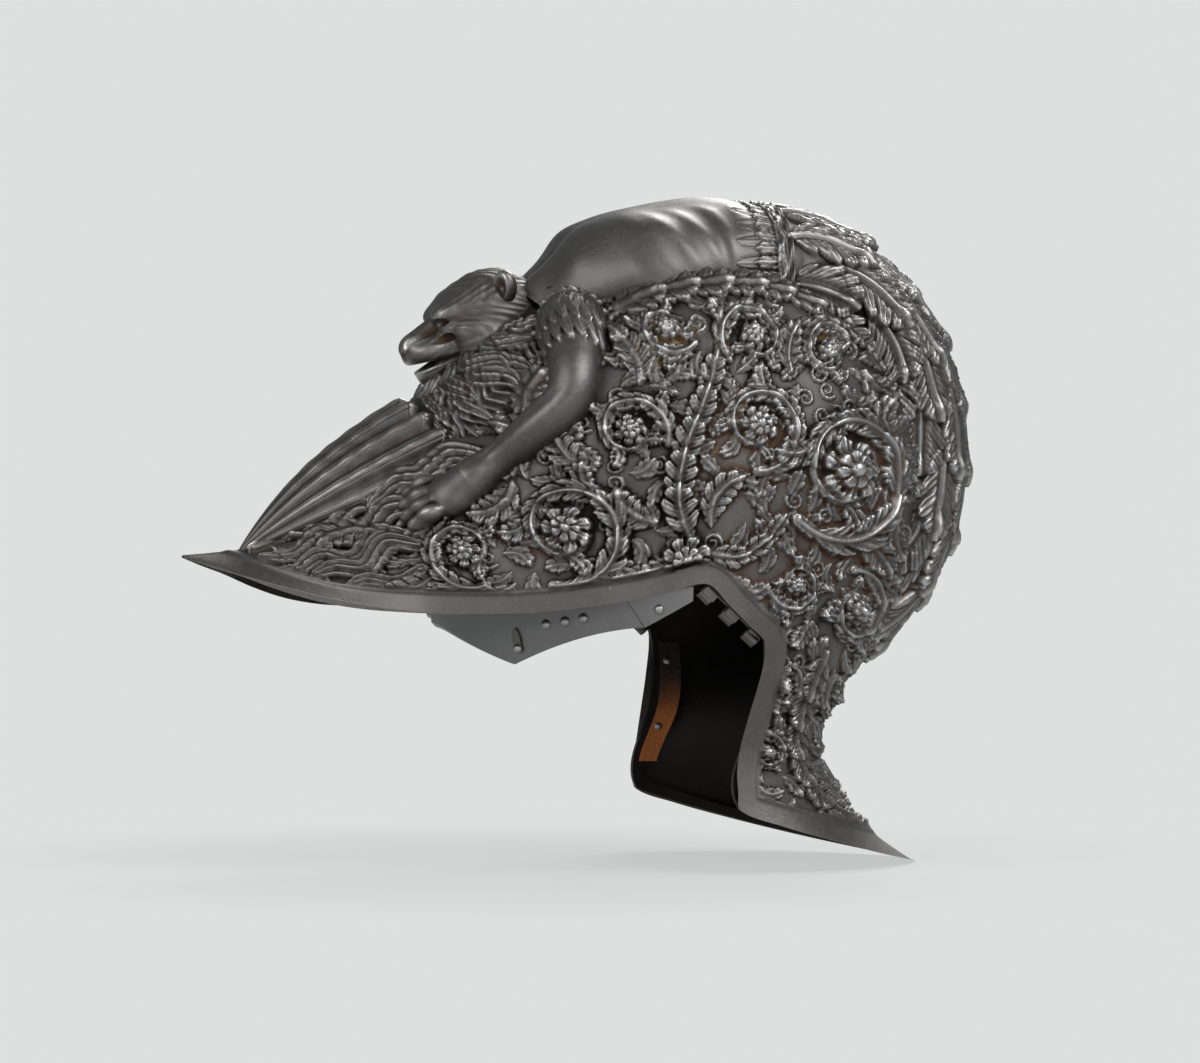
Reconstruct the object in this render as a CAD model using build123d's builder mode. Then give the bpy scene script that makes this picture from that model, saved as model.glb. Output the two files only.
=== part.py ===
from build123d import *
import math
import os

# An embossed steel parade burgonet: one plate worked into a bowl with a pointed peak, a beast crest and
# a neck guard, brow plates riveted inside it, and the hinge leaves that once carried cheekpieces.
# The wearer faces -X, up is +Z, and the plane y = 0 divides the helmet into two mirrored halves.
# The origin lies in the head opening, level with the foot of the temple hinges.

# Plate
wall = 1.6
rim_turn = 1.4
rim_band = 3.4

# Plain bowl under the ornament
ear_plane_x = 22.0
crown_height = 145.0
crown_flat = 1.6
widest_height = 45.0
occiput_height = 60.0
bowl_half_width = 86.0
forehead_reach = 106.0
occiput_reach = 86.0
skirt_depth = 88.0
front_dome_power = 1.7
back_dome_power = 2.2
front_skirt_shares = [(0.0, 1.0), (0.25, 0.98), (0.55, 0.94), (1.0, 0.92)]
back_skirt_shares = [
    (0.0, 1.0),
    (0.135, 0.975),
    (0.31, 0.84),
    (0.455, 0.65),
    (0.57, 0.51),
    (0.655, 0.47),
    (0.765, 0.56),
    (0.88, 0.73),
    (0.96, 0.93),
    (1.0, 1.05),
]
side_skirt_shares = [
    (0.0, 1.0),
    (0.23, 0.985),
    (0.40, 0.94),
    (0.53, 0.88),
    (0.63, 0.85),
    (0.75, 0.87),
    (0.88, 0.92),
    (1.0, 0.98),
]
skirt_level_shares = (1.0, 0.92, 0.84, 0.75, 0.66, 0.57, 0.48, 0.39, 0.28, 0.16, 0.0)
dome_level_shares = (0.22, 0.42, 0.60, 0.75, 0.87, 0.95, 1.0)

# Peak: arched sections from the tip back to the temples
peak_tip_x = -169.5
peak_tip_height = 31.5
peak_length = 161.5
peak_half_width = 83.0
peak_rise = 66.0
peak_foot_drop = 24.0
peak_width_shares = [
    (0.0, 0.02),
    (0.06, 0.115),
    (0.12, 0.205),
    (0.214, 0.337),
    (0.31, 0.458),
    (0.40, 0.56),
    (0.49, 0.663),
    (0.585, 0.735),
    (0.68, 0.807),
    (0.77, 0.867),
    (0.865, 0.920),
    (0.93, 0.944),
    (1.0, 0.950),
]
peak_ridge_shares = [
    (0.0, 0.0),
    (0.12, 0.03),
    (0.214, 0.15),
    (0.31, 0.36),
    (0.40, 0.58),
    (0.49, 0.80),
    (0.60, 0.95),
    (1.0, 1.0),
]
peak_bulge_shares = [(0.0, 0.57), (0.3, 0.60), (0.5, 0.68), (0.7, 0.80), (1.0, 0.88)]
peak_bulge_height_share = 0.54
peak_side_inset_share = 1.35
peak_top_inset_share = 1.45

# Rim line of the peak, seen from the side, from the tip to the temple
rim_drop = 20.3
rim_line_shares = [
    (-0.03, 0.0),
    (0.0, 0.04),
    (0.12, 0.35),
    (0.30, 0.75),
    (0.46, 0.95),
    (0.64, 1.0),
    (0.83, 0.84),
]

# Face opening and neck guard, seen from the side
hinge_top_x = 3.0
hinge_top_height = 22.0
hinge_foot_x = 24.5
hinge_foot_height = 1.5
neck_waist_x = 24.8
neck_bulge_x = 15.2
neck_line_shares = [(0.0, 0.27), (0.30, 0.51), (0.80, 0.70), (1.0, 0.86)]
neck_edge_x = 17.5
neck_edge_drop = 58.5
guard_middle_x = 60.0
guard_middle_drop = 71.5
tail_x = 104.0
tail_drop = 82.0
cut_margin = 60.0
cut_tail_share = 0.17

# Crest: a sea lion's back along the crown, then its leaf-scaled tail down to the nape.
# Rows give the angle from upright about the crest's centre, then shares of radius, half width and height.
crest_centre_x = 39.6
crest_centre_height = 84.2
crest_radius = 78.0
crest_half_width = 52.0
crest_half_height = 30.0
leaf_step = 2.4
leaf_lip = 1.0
back_shares = [
    (-63.4, 1.27, 0.27, 0.45),
    (-54.8, 1.215, 0.50, 0.72),
    (-42.3, 1.172, 0.68, 0.86),
    (-27.6, 1.096, 0.71, 0.90),
    (-14.0, 1.041, 0.69, 0.90),
    (1.8, 0.979, 0.76, 0.92),
]
tail_shares = [
    (-3.0, 0.985, 0.76, 0.92),
    (11.0, 0.985, 0.86, 0.98),
    (25.0, 0.975, 0.96, 1.0),
    (40.0, 0.968, 1.0, 1.0),
    (55.0, 0.972, 1.0, 1.0),
    (71.0, 0.99, 1.0, 1.0),
    (87.0, 1.015, 1.0, 1.0),
    (102.0, 1.06, 1.0, 1.0),
    (117.0, 1.115, 1.02, 0.94),
    (131.0, 1.18, 1.0, 0.82),
    (144.0, 1.235, 0.88, 0.60),
    (155.5, 1.30, 0.64, 0.38),
    (163.5, 1.39, 0.40, 0.24),
]

# Beast's head: ellipses from the muzzle back to the neck, as shares of its length, width and height
head_front_x = -86.5
head_front_height = 104.5
head_length = 46.0
head_half_width = 20.0
head_half_height = 19.0
head_lift = 13.0
head_shares = [
    (0.0, 0.0, 0.30, 0.36),
    (0.10, 0.05, 0.48, 0.56),
    (0.26, 0.18, 0.62, 0.68),
    (0.42, 0.48, 0.88, 0.90),
    (0.60, 0.76, 1.0, 0.98),
    (0.80, 0.92, 0.96, 0.96),
    (1.0, 1.0, 0.85, 0.90),
]
ear_along_share = 0.66
ear_spread_share = 0.72
ear_length = 13.0
ear_radius = 5.0
ear_tip_share = 0.25

# Mane: ellipses from the shell up the forehead to the back of the head
mane_top_x = -50.0
mane_top_height = 127.0
mane_foot_x = -93.0
mane_foot_height = 84.0
mane_half_width = 35.0
mane_half_depth = 25.0
mane_shares = [
    (0.0, 0.50, 0.42),
    (0.15, 0.80, 0.70),
    (0.35, 0.98, 0.92),
    (0.58, 1.0, 1.0),
    (0.8, 0.86, 0.88),
    (1.0, 0.62, 0.6),
]

# Forelegs: circles from the shoulder to the toes, as shares of reach, spread, drop and thickness
leg_start_x = -28.0
leg_start_height = 130.0
leg_reach = 53.0
leg_spread = 62.0
leg_drop = 77.0
leg_radius = 13.0
leg_shares = [
    (0.0, 0.40, 0.0, 1.0),
    (0.12, 0.70, 0.20, 0.84),
    (0.20, 0.91, 0.42, 0.70),
    (0.26, 0.97, 0.56, 0.66),
    (0.46, 0.91, 0.70, 0.60),
    (0.68, 0.76, 0.83, 0.48),
    (0.86, 0.60, 0.93, 0.62),
    (1.0, 0.46, 1.0, 0.40),
]

# Scallop shell on the peak: ribs that fan back from its hinge near the tip, over a domed core
shell_hinge_x = -150.0
shell_hinge_height = 36.0
shell_edge_x = -92.0
shell_edge_height = 89.0
shell_half_width = 28.0
shell_half_depth = 26.0
shell_rib_count = 9
shell_rib_radius = 5.2
shell_rib_start_share = 0.28
shell_core_shares = [
    (0.0, 0.12, 0.12),
    (0.3, 0.36, 0.36),
    (0.6, 0.63, 0.63),
    (0.85, 0.86, 0.86),
    (1.0, 0.97, 0.97),
]

# Brow plate and side plates inside the brow; the right temple corner is the shorter one
plate_thickness = 1.5
seat_gap = 0.3
brow_top_height = 31.0
brow_centre_height = 11.0
temple_x = -57.6
left_temple_height = -7.0
right_temple_height = 4.5
temple_rise_shares = [(0.72, 0.80), (0.37, 0.44), (0.18, 0.17)]
brow_side_share = 0.42
brow_side_sag_share = 0.50
seam_top_x = -33.5
seam_foot_x = -17.5
seam_foot_height = 6.6
seam_gap = 0.5
side_plate_end_x = -1.0
side_plate_end_height = 16.0

# Rivets and studs
dome_rivet_shank = 1.8
dome_rivet_head = 3.7
dome_rivet_rise = 1.4
lining_rivet_first_x = -51.0
lining_rivet_pitch = 6.0
lining_rivet_height = 7.0
lining_rivet_climb = 1.2
lining_rivet_count = 3
temple_stud_x = -59.0
temple_stud_height = -1.6
temple_leaf_length = 9.0
temple_leaf_width = 3.4
temple_leaf_thickness = 0.8
side_rivet_x = -13.5
side_rivet_height = 12.6
shank_clearance = 0.1
head_seat = 0.1
flush_rivet_shank = 3.0
tail_share = 1.45
tail_rise_share = 0.3
brow_fix_x = -30.5
brow_fix_height = 20.5
side_fix_x = -8.0
side_fix_height = 26.5

# Hinge leaves at the temples
knuckle_diameter = 4.6
knuckle_bore = 2.2
tab_bend_share = 0.7
knuckle_length = 5.2
hinge_length = 27.0
hinge_stand = 2.6
hinge_inset = 2.0
hinge_lean = 6.0
leaf_thickness = 1.2
leaf_length = 26.0
leaf_depth = 13.0
leaf_rivet_depth = 7.0
leaf_rivet_spread = 15.0

# Lining strap remnant and its rivets, on the right
strap_width = 7.0
strap_thickness = 1.6
strap_edge_gap = 2.4
strap_top_height = -3.0
strap_foot_height = -48.0

# Lining rivets in the neck: they hold the strap on the right, and left open holes on the left
neck_rivet_shank = 2.0
neck_rivet_setback = 5.9
neck_rivet_level_shares = [0.19, 0.72]


# Sizes that follow from those above
inner_face = wall + rim_turn + seat_gap
hole_reach = inner_face + 2 * max(plate_thickness, strap_thickness)
knuckle_places = [share * (hinge_length - knuckle_length) / 2 for share in (-1, 0, 1)]
sides = (-1, 1)
side_names = ("left", "right")


def between(rows, where):
    """The height of a smooth curve through rows of (place, value) at one place."""
    last = len(rows) - 1
    where = min(max(where, rows[0][0]), rows[last][0])
    k = next(i for i in range(last) if where <= rows[i + 1][0] or i == last - 1)
    step = rows[k + 1][0] - rows[k][0]
    t = (where - rows[k][0]) / step

    def slope(i):
        low, high = max(i - 1, 0), min(i + 1, last)
        return (rows[high][1] - rows[low][1]) / (rows[high][0] - rows[low][0])

    rise = rows[k + 1][1] - rows[k][1]
    a = slope(k) * step - rise
    b = rise - slope(k + 1) * step
    return rows[k][1] + rise * t + t * (1 - t) * (a * (1 - t) + b * t)


def reach(size, mid_height, power, skirt_shares, height):
    """How far one side of the bowl stands from the ear axis at a height."""
    if height >= mid_height:
        rise = min((height - mid_height) / (crown_height - mid_height), 1.0)
        return size * (1 - rise**power) ** (1 / power)
    drop = (mid_height - height) / (mid_height + skirt_depth)
    return size * between(skirt_shares, drop)


def bowl_reaches(height, inset=0.0):
    """Front reach, back reach and half width at a height, moved in by inset square to the wall."""
    curves = [
        (forehead_reach, widest_height, front_dome_power, front_skirt_shares),
        (occiput_reach, occiput_height, back_dome_power, back_skirt_shares),
        (bowl_half_width, widest_height, back_dome_power, side_skirt_shares),
    ]
    step = 0.01 * wall
    found = []
    for curve in curves:
        slope = (reach(*curve, height + step) - reach(*curve, height - step)) / (2 * step)
        found.append(reach(*curve, height) - inset * math.hypot(1, slope))
    return found


def bowl_lump(inset=0.0):
    """The bowl as a closed lump through level ovals, moved in by inset square to the wall."""
    crown_level = crown_height - crown_flat - inset
    levels = [widest_height - share * (widest_height + skirt_depth) for share in skirt_level_shares]
    levels += [widest_height + share * (crown_level - widest_height) for share in dome_level_shares]
    with BuildPart() as lump:
        for level in levels:
            front, back, half_width = bowl_reaches(level, inset)
            with BuildSketch(Plane.XY.offset(level)):
                with BuildLine():
                    EllipticalCenterArc((ear_plane_x, 0), front, half_width, 90, arc_size=180)
                    EllipticalCenterArc((ear_plane_x, 0), back, half_width, -90, arc_size=180)
                make_face()
        loft()
    return lump.part


def peak_lump(inset=0.0):
    """The peak as a closed lump through keeled arches square to its length, moved in by inset."""
    with BuildPart() as lump:
        for along, width_share in peak_width_shares:
            half_width = peak_half_width * width_share - peak_side_inset_share * inset
            ridge = peak_tip_height + peak_rise * between(peak_ridge_shares, along)
            ridge -= peak_top_inset_share * inset
            rim = rim_height(along)
            x = peak_tip_x + peak_length * along
            if half_width <= 0:
                continue
            middle = between(peak_bulge_shares, along)
            bulge = (half_width * middle, rim + peak_bulge_height_share * (ridge - rim))
            foot = rim - peak_foot_drop
            with BuildSketch(Plane((x, 0, 0), x_dir=(0, 1, 0), z_dir=(1, 0, 0))):
                with BuildLine():
                    Polyline((-half_width, rim), (-half_width, foot), (half_width, foot), (half_width, rim))
                    ThreePointArc((half_width, rim), bulge, (0, ridge))
                    ThreePointArc((0, ridge), (-bulge[0], bulge[1]), (-half_width, rim))
                make_face()
        loft()
    return lump.part


def rim_height(along):
    """The height of the peak's rim at a share of its length."""
    return peak_tip_height - rim_drop * between(rim_line_shares, along)


def oval_loft(stations, ruled=False):
    """A closed lump through ellipses, each given by its plane, half width and half height."""
    with BuildPart() as lump:
        for plane, half_width, half_height in stations:
            with BuildSketch(plane):
                Ellipse(half_width, half_height)
        loft(ruled=ruled)
    return lump.part


def crest_station(row, rows, inset):
    """The plane and half sizes of one crest section, whose top lies on the crest's outline."""

    def top(entry):
        turn = math.radians(entry[0])
        far = crest_radius * entry[1]
        return Vector(crest_centre_x + far * math.sin(turn), 0, crest_centre_height + far * math.cos(turn))

    index = rows.index(row)
    before, after = rows[max(index - 1, 0)], rows[min(index + 1, len(rows) - 1)]
    along = (top(after) - top(before)).normalized()
    outward = along.cross(Vector(0, 1, 0))
    half_width = crest_half_width * row[2] - inset
    half_height = crest_half_height * row[3] - inset
    origin = top(row) - outward * (half_height + inset)
    return Plane(origin, x_dir=(0, 1, 0), z_dir=along), half_width, half_height


def crest_lumps(inset=0.0):
    """The crest's smooth back and its tail, whose leaf rows step in where the next row starts."""
    back = oval_loft([crest_station(row, back_shares, inset) for row in back_shares])
    stations = []
    for row in tail_shares:
        plane, half_width, half_height = crest_station(row, tail_shares, inset)
        if inset or row in (tail_shares[0], tail_shares[-1]):
            shrink = leaf_step if inset else 0
            stations.append((plane, half_width - shrink, half_height - shrink))
            continue
        stations.append((plane, half_width, half_height))
        stations.append((plane.offset(leaf_lip), half_width - leaf_step, half_height - leaf_step))
    return [back, oval_loft(stations, ruled=True)]


def line_stations(start, end, shares, half_width, half_depth, inset=0.0):
    """Sections square to a straight line in the midplane, whose tops lie on that line."""
    along = (end - start).normalized()
    outward = along.cross(Vector(0, 1, 0))
    stations = []
    for place, wide, deep in shares:
        half_high = half_depth * deep - inset
        origin = start + (end - start) * place - outward * (half_high + inset)
        stations.append((Plane(origin, x_dir=(0, 1, 0), z_dir=along), half_width * wide - inset, half_high))
    return stations


def skull(shares, inset=0.0):
    """The beast's head from the muzzle to the neck."""
    stations = []
    for along, lift, wide, high in shares:
        origin = (head_front_x + head_length * along, 0, head_front_height + head_lift * lift)
        plane = Plane(origin, x_dir=(0, 1, 0), z_dir=(1, 0, 0))
        stations.append((plane, head_half_width * wide - inset, head_half_height * high - inset))
    return oval_loft(stations)


def head_lumps():
    """The beast's head and its two ears."""
    lumps = [skull(head_shares)]
    for side in (-1, 1):
        foot = (
            head_front_x + head_length * ear_along_share,
            side * head_half_width * ear_spread_share,
            head_front_height + head_lift + head_half_height * ear_spread_share / 2,
        )
        base = Plane(foot, x_dir=(1, 0, 0), z_dir=(0, side * ear_spread_share, 1))
        with BuildPart() as ear:
            with BuildSketch(base.offset(-ear_radius)):
                Circle(ear_radius)
            with BuildSketch(base.offset(ear_length - ear_radius)):
                Circle(ear_radius * ear_tip_share)
            loft()
        lumps.append(ear.part)
    return lumps


def mane_lump(inset=0.0):
    """The mane's mass between the head and the shell."""
    foot = Vector(mane_foot_x, 0, mane_foot_height)
    top = Vector(mane_top_x, 0, mane_top_height)
    return oval_loft(line_stations(foot, top, mane_shares, mane_half_width, mane_half_depth, inset))


def leg_lump(side):
    """One foreleg from shoulder to toes, on the left (-1) or right (+1) side."""
    places = []
    for forward, spread, down, thick in leg_shares:
        x = leg_start_x - leg_reach * forward
        height = leg_start_height - leg_drop * down
        places.append((Vector(x, side * leg_spread * spread, height), leg_radius * thick))
    stations = []
    for index, (place, radius) in enumerate(places):
        before, after = places[max(index - 1, 0)][0], places[min(index + 1, len(places) - 1)][0]
        along = (after - before).normalized()
        across = along.cross(Vector(0, 1, 0)).normalized()
        stations.append((Plane(place, x_dir=across, z_dir=along), radius, radius))
    return oval_loft(stations)


def shell_core(inset=0.0):
    """The scallop's domed body, sunk below the tops of its ribs."""
    hinge = Vector(shell_hinge_x, 0, shell_hinge_height - shell_rib_radius)
    top = Vector(shell_edge_x, 0, shell_edge_height - shell_rib_radius)
    narrowest = 2 * inset / min(shell_half_width, shell_half_depth)
    shares = [row for row in shell_core_shares if row[1] > narrowest]
    return oval_loft(line_stations(hinge, top, shares, shell_half_width, shell_half_depth, inset))


def shell_lumps():
    """The scallop shell: round-ended ribs that fan from the hinge over a domed core."""
    hinge = Vector(shell_hinge_x, 0, shell_hinge_height - shell_rib_radius)
    top = Vector(shell_edge_x, 0, shell_edge_height - shell_rib_radius)
    outward = (top - hinge).normalized().cross(Vector(0, 1, 0))
    lumps = [shell_core()]
    for number in range(shell_rib_count):
        turn = (2 * number / (shell_rib_count - 1) - 1) * math.pi / 2
        drop = shell_half_depth * (1 - math.cos(turn))
        edge = top + Vector(0, shell_half_width * math.sin(turn), 0) - outward * drop
        start = hinge + (edge - hinge) * shell_rib_start_share
        along = (edge - hinge).normalized()
        with BuildPart() as rib:
            with BuildSketch(Plane(start, x_dir=(0, 1, 0), z_dir=along)):
                Circle(shell_rib_start_share * shell_rib_radius)
            with BuildSketch(Plane(edge, x_dir=(0, 1, 0), z_dir=along)):
                Circle(shell_rib_radius)
            loft()
            with Locations(edge):
                Sphere(shell_rib_radius)
        lumps.append(rib.part)
    return lumps


def neck_edge(grow=0.0):
    """Side-view points down the neck's front edge, moved back into the plate by grow."""
    middle = [
        (neck_waist_x + share * (neck_bulge_x - neck_waist_x) + grow, -drop * neck_edge_drop)
        for share, drop in neck_line_shares
    ]
    return [(hinge_foot_x + grow, hinge_foot_height), *middle, (neck_edge_x + grow, -neck_edge_drop + grow)]


def opening_cutter(grow=0.0):
    """A bar across the helmet with the side outline of its lower edge, moved into the plate by grow."""
    rim = [
        (peak_tip_x + peak_length * along, peak_tip_height - rim_drop * drop + grow)
        for along, drop in rim_line_shares
    ]
    top = (hinge_top_x, hinge_top_height + grow)
    foot = neck_edge(grow)[0]
    corner = neck_edge(grow)[-1]
    tail = (tail_x, -tail_drop + grow)
    with BuildPart() as cutter:
        with BuildSketch(Plane.XZ):
            with BuildLine():
                front_foot = (rim[0][0] - cut_margin, -skirt_depth - cut_margin)
                back_foot = (tail_x + cut_margin, -skirt_depth - cut_margin)
                tail_end = (tail_x + cut_margin, tail[1] - cut_margin * cut_tail_share)
                Polyline(front_foot, (rim[0][0] - cut_margin, rim[0][1]), rim[0])
                Spline(*rim, top)
                Line(top, foot)
                Spline(*neck_edge(grow))
                ThreePointArc(corner, (guard_middle_x, -guard_middle_drop + grow), tail)
                Polyline(tail, tail_end, back_foot, front_foot)
            make_face()
        extrude(amount=2 * bowl_half_width, both=True)
    return cutter.part


def wall_place(x, height, side, inset=0.0):
    """A plane on the bowl's left (-1) or right (+1) wall facing outwards, moved in by inset."""

    def spread(place_x, place_height):
        front, back, half_width = bowl_reaches(place_height)
        reach_here = front if place_x < ear_plane_x else back
        return half_width * math.sqrt(1 - ((place_x - ear_plane_x) / reach_here) ** 2)

    step = 0.1 * wall
    slope_x = (spread(x + step, height) - spread(x - step, height)) / (2 * step)
    slope_z = (spread(x, height + step) - spread(x, height - step)) / (2 * step)
    normal = Vector(-slope_x, side, -slope_z).normalized()
    origin = Vector(x, side * spread(x, height), height) - normal * inset
    return Plane(origin, x_dir=Vector(0, 1, 0).cross(normal), z_dir=normal)


def rivet(shank, grip, head, rise):
    """A rivet that points along +Z: its domed head seats on the plane z = 0, its shank runs grip below."""
    with BuildPart() as made:
        with BuildSketch(Plane.XZ):
            with BuildLine():
                Polyline((0, rise), (0, -grip), (shank / 2, -grip), (shank / 2, 0), (head / 2, 0))
                TangentArc((0, rise), (head / 2, 0), tangent=(1, 0))
            make_face()
        revolve(axis=Axis.Z)
    return made.part


def drill(places, diameter, depth=hole_reach):
    """Round holes at the places, square through the part that is being built."""
    with BuildSketch(*places) as holes:
        Circle(diameter / 2)
    extrude(holes.sketch, amount=depth, both=True, mode=Mode.SUBTRACT)


def curved_sheet(outline, inset, thickness, side):
    """A sheet of the bowl's form on one side, inset from its outside and outlined from the side."""
    outer = bowl_lump(inset)
    inner = bowl_lump(inset + thickness)
    with BuildPart() as sheet:
        extrude(outline, amount=bowl_half_width, dir=(0, side, 0))
        add(outer, mode=Mode.INTERSECT)
        add(inner, mode=Mode.SUBTRACT)
    return sheet.part


def brow_outline(temple_height):
    """The brow plate from the side: down to the temple corner, up to the middle of the brow."""
    front = ear_plane_x - forehead_reach
    seam_foot = (seam_foot_x, seam_foot_height)
    temple = (temple_x, temple_height)
    climb = [
        (front + share * (temple_x - front), brow_centre_height + drop * (temple_height - brow_centre_height))
        for share, drop in temple_rise_shares
    ]
    side_middle = (
        seam_foot_x + brow_side_share * (temple_x - seam_foot_x),
        seam_foot_height + brow_side_share * brow_side_sag_share * (temple_height - seam_foot_height),
    )
    with BuildSketch(Plane.XZ) as outline:
        with BuildLine():
            Polyline(
                (front - cut_margin, brow_centre_height),
                (front - cut_margin, brow_top_height),
                (seam_top_x, brow_top_height),
                seam_foot,
            )
            Spline(seam_foot, side_middle, temple)
            Spline(temple, *climb, (front, brow_centre_height))
            Line((front, brow_centre_height), (front - cut_margin, brow_centre_height))
        make_face()
    return outline.sketch


def side_plate_outline():
    """A side plate from the side: from the seam back to the hinge."""
    with BuildSketch(Plane.XZ) as outline:
        with BuildLine():
            Polyline(
                (seam_top_x + seam_gap, brow_top_height),
                (seam_foot_x + seam_gap, seam_foot_height),
                (side_plate_end_x, side_plate_end_height),
                (side_plate_end_x, brow_top_height),
                (seam_top_x + seam_gap, brow_top_height),
            )
        make_face()
    return outline.sketch


def hinge_point(along, depth):
    """A side-view point at the temple hinge: along the plate's edge from its middle, depth into the plate."""
    top, foot = Vector(hinge_top_x, hinge_top_height), Vector(hinge_foot_x, hinge_foot_height)
    down = (foot - top).normalized()
    into = Vector(-down.Y, down.X)
    place = (top + foot) * 0.5 + down * along + into * depth
    return place.X, place.Y


def leaf_outline():
    """A hinge leaf from the side: its plate and the three tabs that carry the knuckles."""
    half = leaf_length / 2
    tab = knuckle_length / 2
    with BuildSketch(Plane.XZ) as outline:
        with BuildLine():
            corners = [(-half, 0), (half, 0), (half, leaf_depth), (-half, leaf_depth)]
            Polyline(*[hinge_point(*corner) for corner in corners], close=True)
        make_face()
        for middle in knuckle_places:
            with BuildLine():
                low, high = middle - tab, middle + tab
                corners = [(low, -hinge_stand), (high, -hinge_stand)]
                corners += [(high, leaf_depth / 2), (low, leaf_depth / 2)]
                Polyline(*[hinge_point(*corner) for corner in corners], close=True)
            make_face()
    return outline.sketch


def hinge_line(side):
    """The pin's line, as its middle, its direction upwards and the way inward.

    It lies inside the leaf and leans in at its top, so that a straight pin passes the bowl, the side plate
    and its rivet on the way in.
    """
    top, foot = [
        wall_place(*hinge_point(end * hinge_length / 2, -hinge_stand), side, inner_face + leaf_thickness / 2).origin
        for end in (-1, 1)
    ]
    up = (top - foot).normalized()
    across = Vector(0, -side, 0)
    inward = (across - up * across.dot(up)).normalized()
    lean = math.radians(hinge_lean)
    axis = up * math.cos(lean) + inward * math.sin(lean)
    return (top + foot) * 0.5 + inward * hinge_inset, axis, inward


def leaf_rivet_place(end, side):
    """A place for one of a leaf's two rivets: at its top (-1) or foot (+1)."""
    return wall_place(*hinge_point(end * leaf_rivet_spread / 2, leaf_rivet_depth), side)


def lining_rivet_place(number, side):
    """A place on the brow plate's outer face, counted back along the row of lining rivets."""
    x = lining_rivet_first_x + number * lining_rivet_pitch
    return wall_place(x, lining_rivet_height + number * lining_rivet_climb, side, inner_face)


def strap_outline():
    """The lining strap from the side: a band that follows the neck's front edge."""
    edges = [neck_edge(strap_edge_gap), neck_edge(strap_edge_gap + strap_width)]
    with BuildSketch(Plane.XZ) as outline:
        with BuildLine():
            Spline(*edges[0])
            Line(edges[0][-1], edges[1][-1])
            Spline(*edges[1])
            Line(edges[1][0], edges[0][0])
        make_face()
        with Locations((hinge_foot_x, (strap_top_height + strap_foot_height) / 2)):
            Rectangle(cut_margin, strap_top_height - strap_foot_height, mode=Mode.INTERSECT)
    return outline.sketch


def neck_rivet_place(share, side):
    """A place on the neck beside its front edge, at a share of the strap's height."""
    height = strap_top_height + share * (strap_foot_height - strap_top_height)
    edge = [(-z, x) for x, z in neck_edge()]
    return wall_place(between(edge, -height) + neck_rivet_setback, height, side)


def peak_stand(place):
    """How far the peak's outside stands out from a place on the bowl's form."""
    hits = peak.find_intersection_points(Axis(place.origin, place.z_dir))
    return max((point - place.origin).dot(place.z_dir) for point, normal in hits)


def flush_rivet(place, shank, grip):
    """A rivet filed flush outside, its tail domed over against the inner face, grip below the place."""
    inward = Plane(place.origin - place.z_dir * grip, x_dir=place.x_dir, z_dir=-place.z_dir)
    return rivet(shank, grip, tail_share * shank, tail_rise_share * shank).moved(inward.location)


peak = peak_lump()
flush_hole = flush_rivet_shank + 2 * shank_clearance
dome_hole = dome_rivet_shank + 2 * shank_clearance
neck_hole = neck_rivet_shank + 2 * shank_clearance
brow_fix_places = [wall_place(brow_fix_x, brow_fix_height, side) for side in sides]
side_fix_places = [wall_place(side_fix_x, side_fix_height, side) for side in sides]
leaf_fix_places = [leaf_rivet_place(end, side) for side in sides for end in (-1, 1)]
open_hole_places, strap_fix_places = [
    [neck_rivet_place(share, side) for share in neck_rivet_level_shares] for side in sides
]
lining_rivet_places = [
    lining_rivet_place(number, side) for side in sides for number in range(lining_rivet_count)
]
side_rivet_places = [wall_place(side_rivet_x, side_rivet_height, side, inner_face) for side in sides]
temple_stud_place = wall_place(temple_stud_x, temple_stud_height, -1, inner_face)

# The bowl: one plate, embossed hollow, with its edges turned inwards
outer_lumps = [bowl_lump(), peak, *crest_lumps(), mane_lump(), *head_lumps()]
outer_lumps += [leg_lump(-1), leg_lump(1), *shell_lumps()]
cavities = [bowl_lump(wall), peak_lump(wall), *crest_lumps(wall), mane_lump(2 * wall)]
cavities += [skull(head_shares[3:], 2 * wall), shell_core(2 * wall)]
rim_cavities = [bowl_lump(wall + rim_turn), peak_lump(wall + rim_turn)]
edge_band = opening_cutter(rim_band)
opening = opening_cutter()
with BuildPart() as hollow:
    add(cavities)
    add(edge_band, mode=Mode.SUBTRACT)
    add(rim_cavities)
with BuildPart() as bowl:
    add(outer_lumps)
    add(hollow.part, mode=Mode.SUBTRACT)
    add(opening, mode=Mode.SUBTRACT)
    drill(brow_fix_places + side_fix_places + leaf_fix_places, flush_hole)
    drill(open_hole_places + strap_fix_places, neck_hole)
bowl.part.label = "bowl"

# Brow plate, one sheet from temple to temple
left_brow = curved_sheet(brow_outline(left_temple_height), inner_face, plate_thickness, -1)
right_brow = curved_sheet(brow_outline(right_temple_height), inner_face, plate_thickness, 1)
with BuildPart() as brow_plate:
    add([left_brow, right_brow])
    drill(brow_fix_places, flush_hole)
    drill([*lining_rivet_places, temple_stud_place], dome_hole)
brow_plate.part.label = "brow_plate"
finished = [bowl, brow_plate]

# Side plates between the brow plate and the hinges
for side, name, fix_place, rivet_place in zip(sides, side_names, side_fix_places, side_rivet_places):
    plate_sheet = curved_sheet(side_plate_outline(), inner_face, plate_thickness, side)
    with BuildPart() as side_plate:
        add(plate_sheet)
        drill([fix_place], flush_hole)
        drill([rivet_place], dome_hole)
    side_plate.part.label = f"side_plate_{name}"
    finished.append(side_plate)

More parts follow.
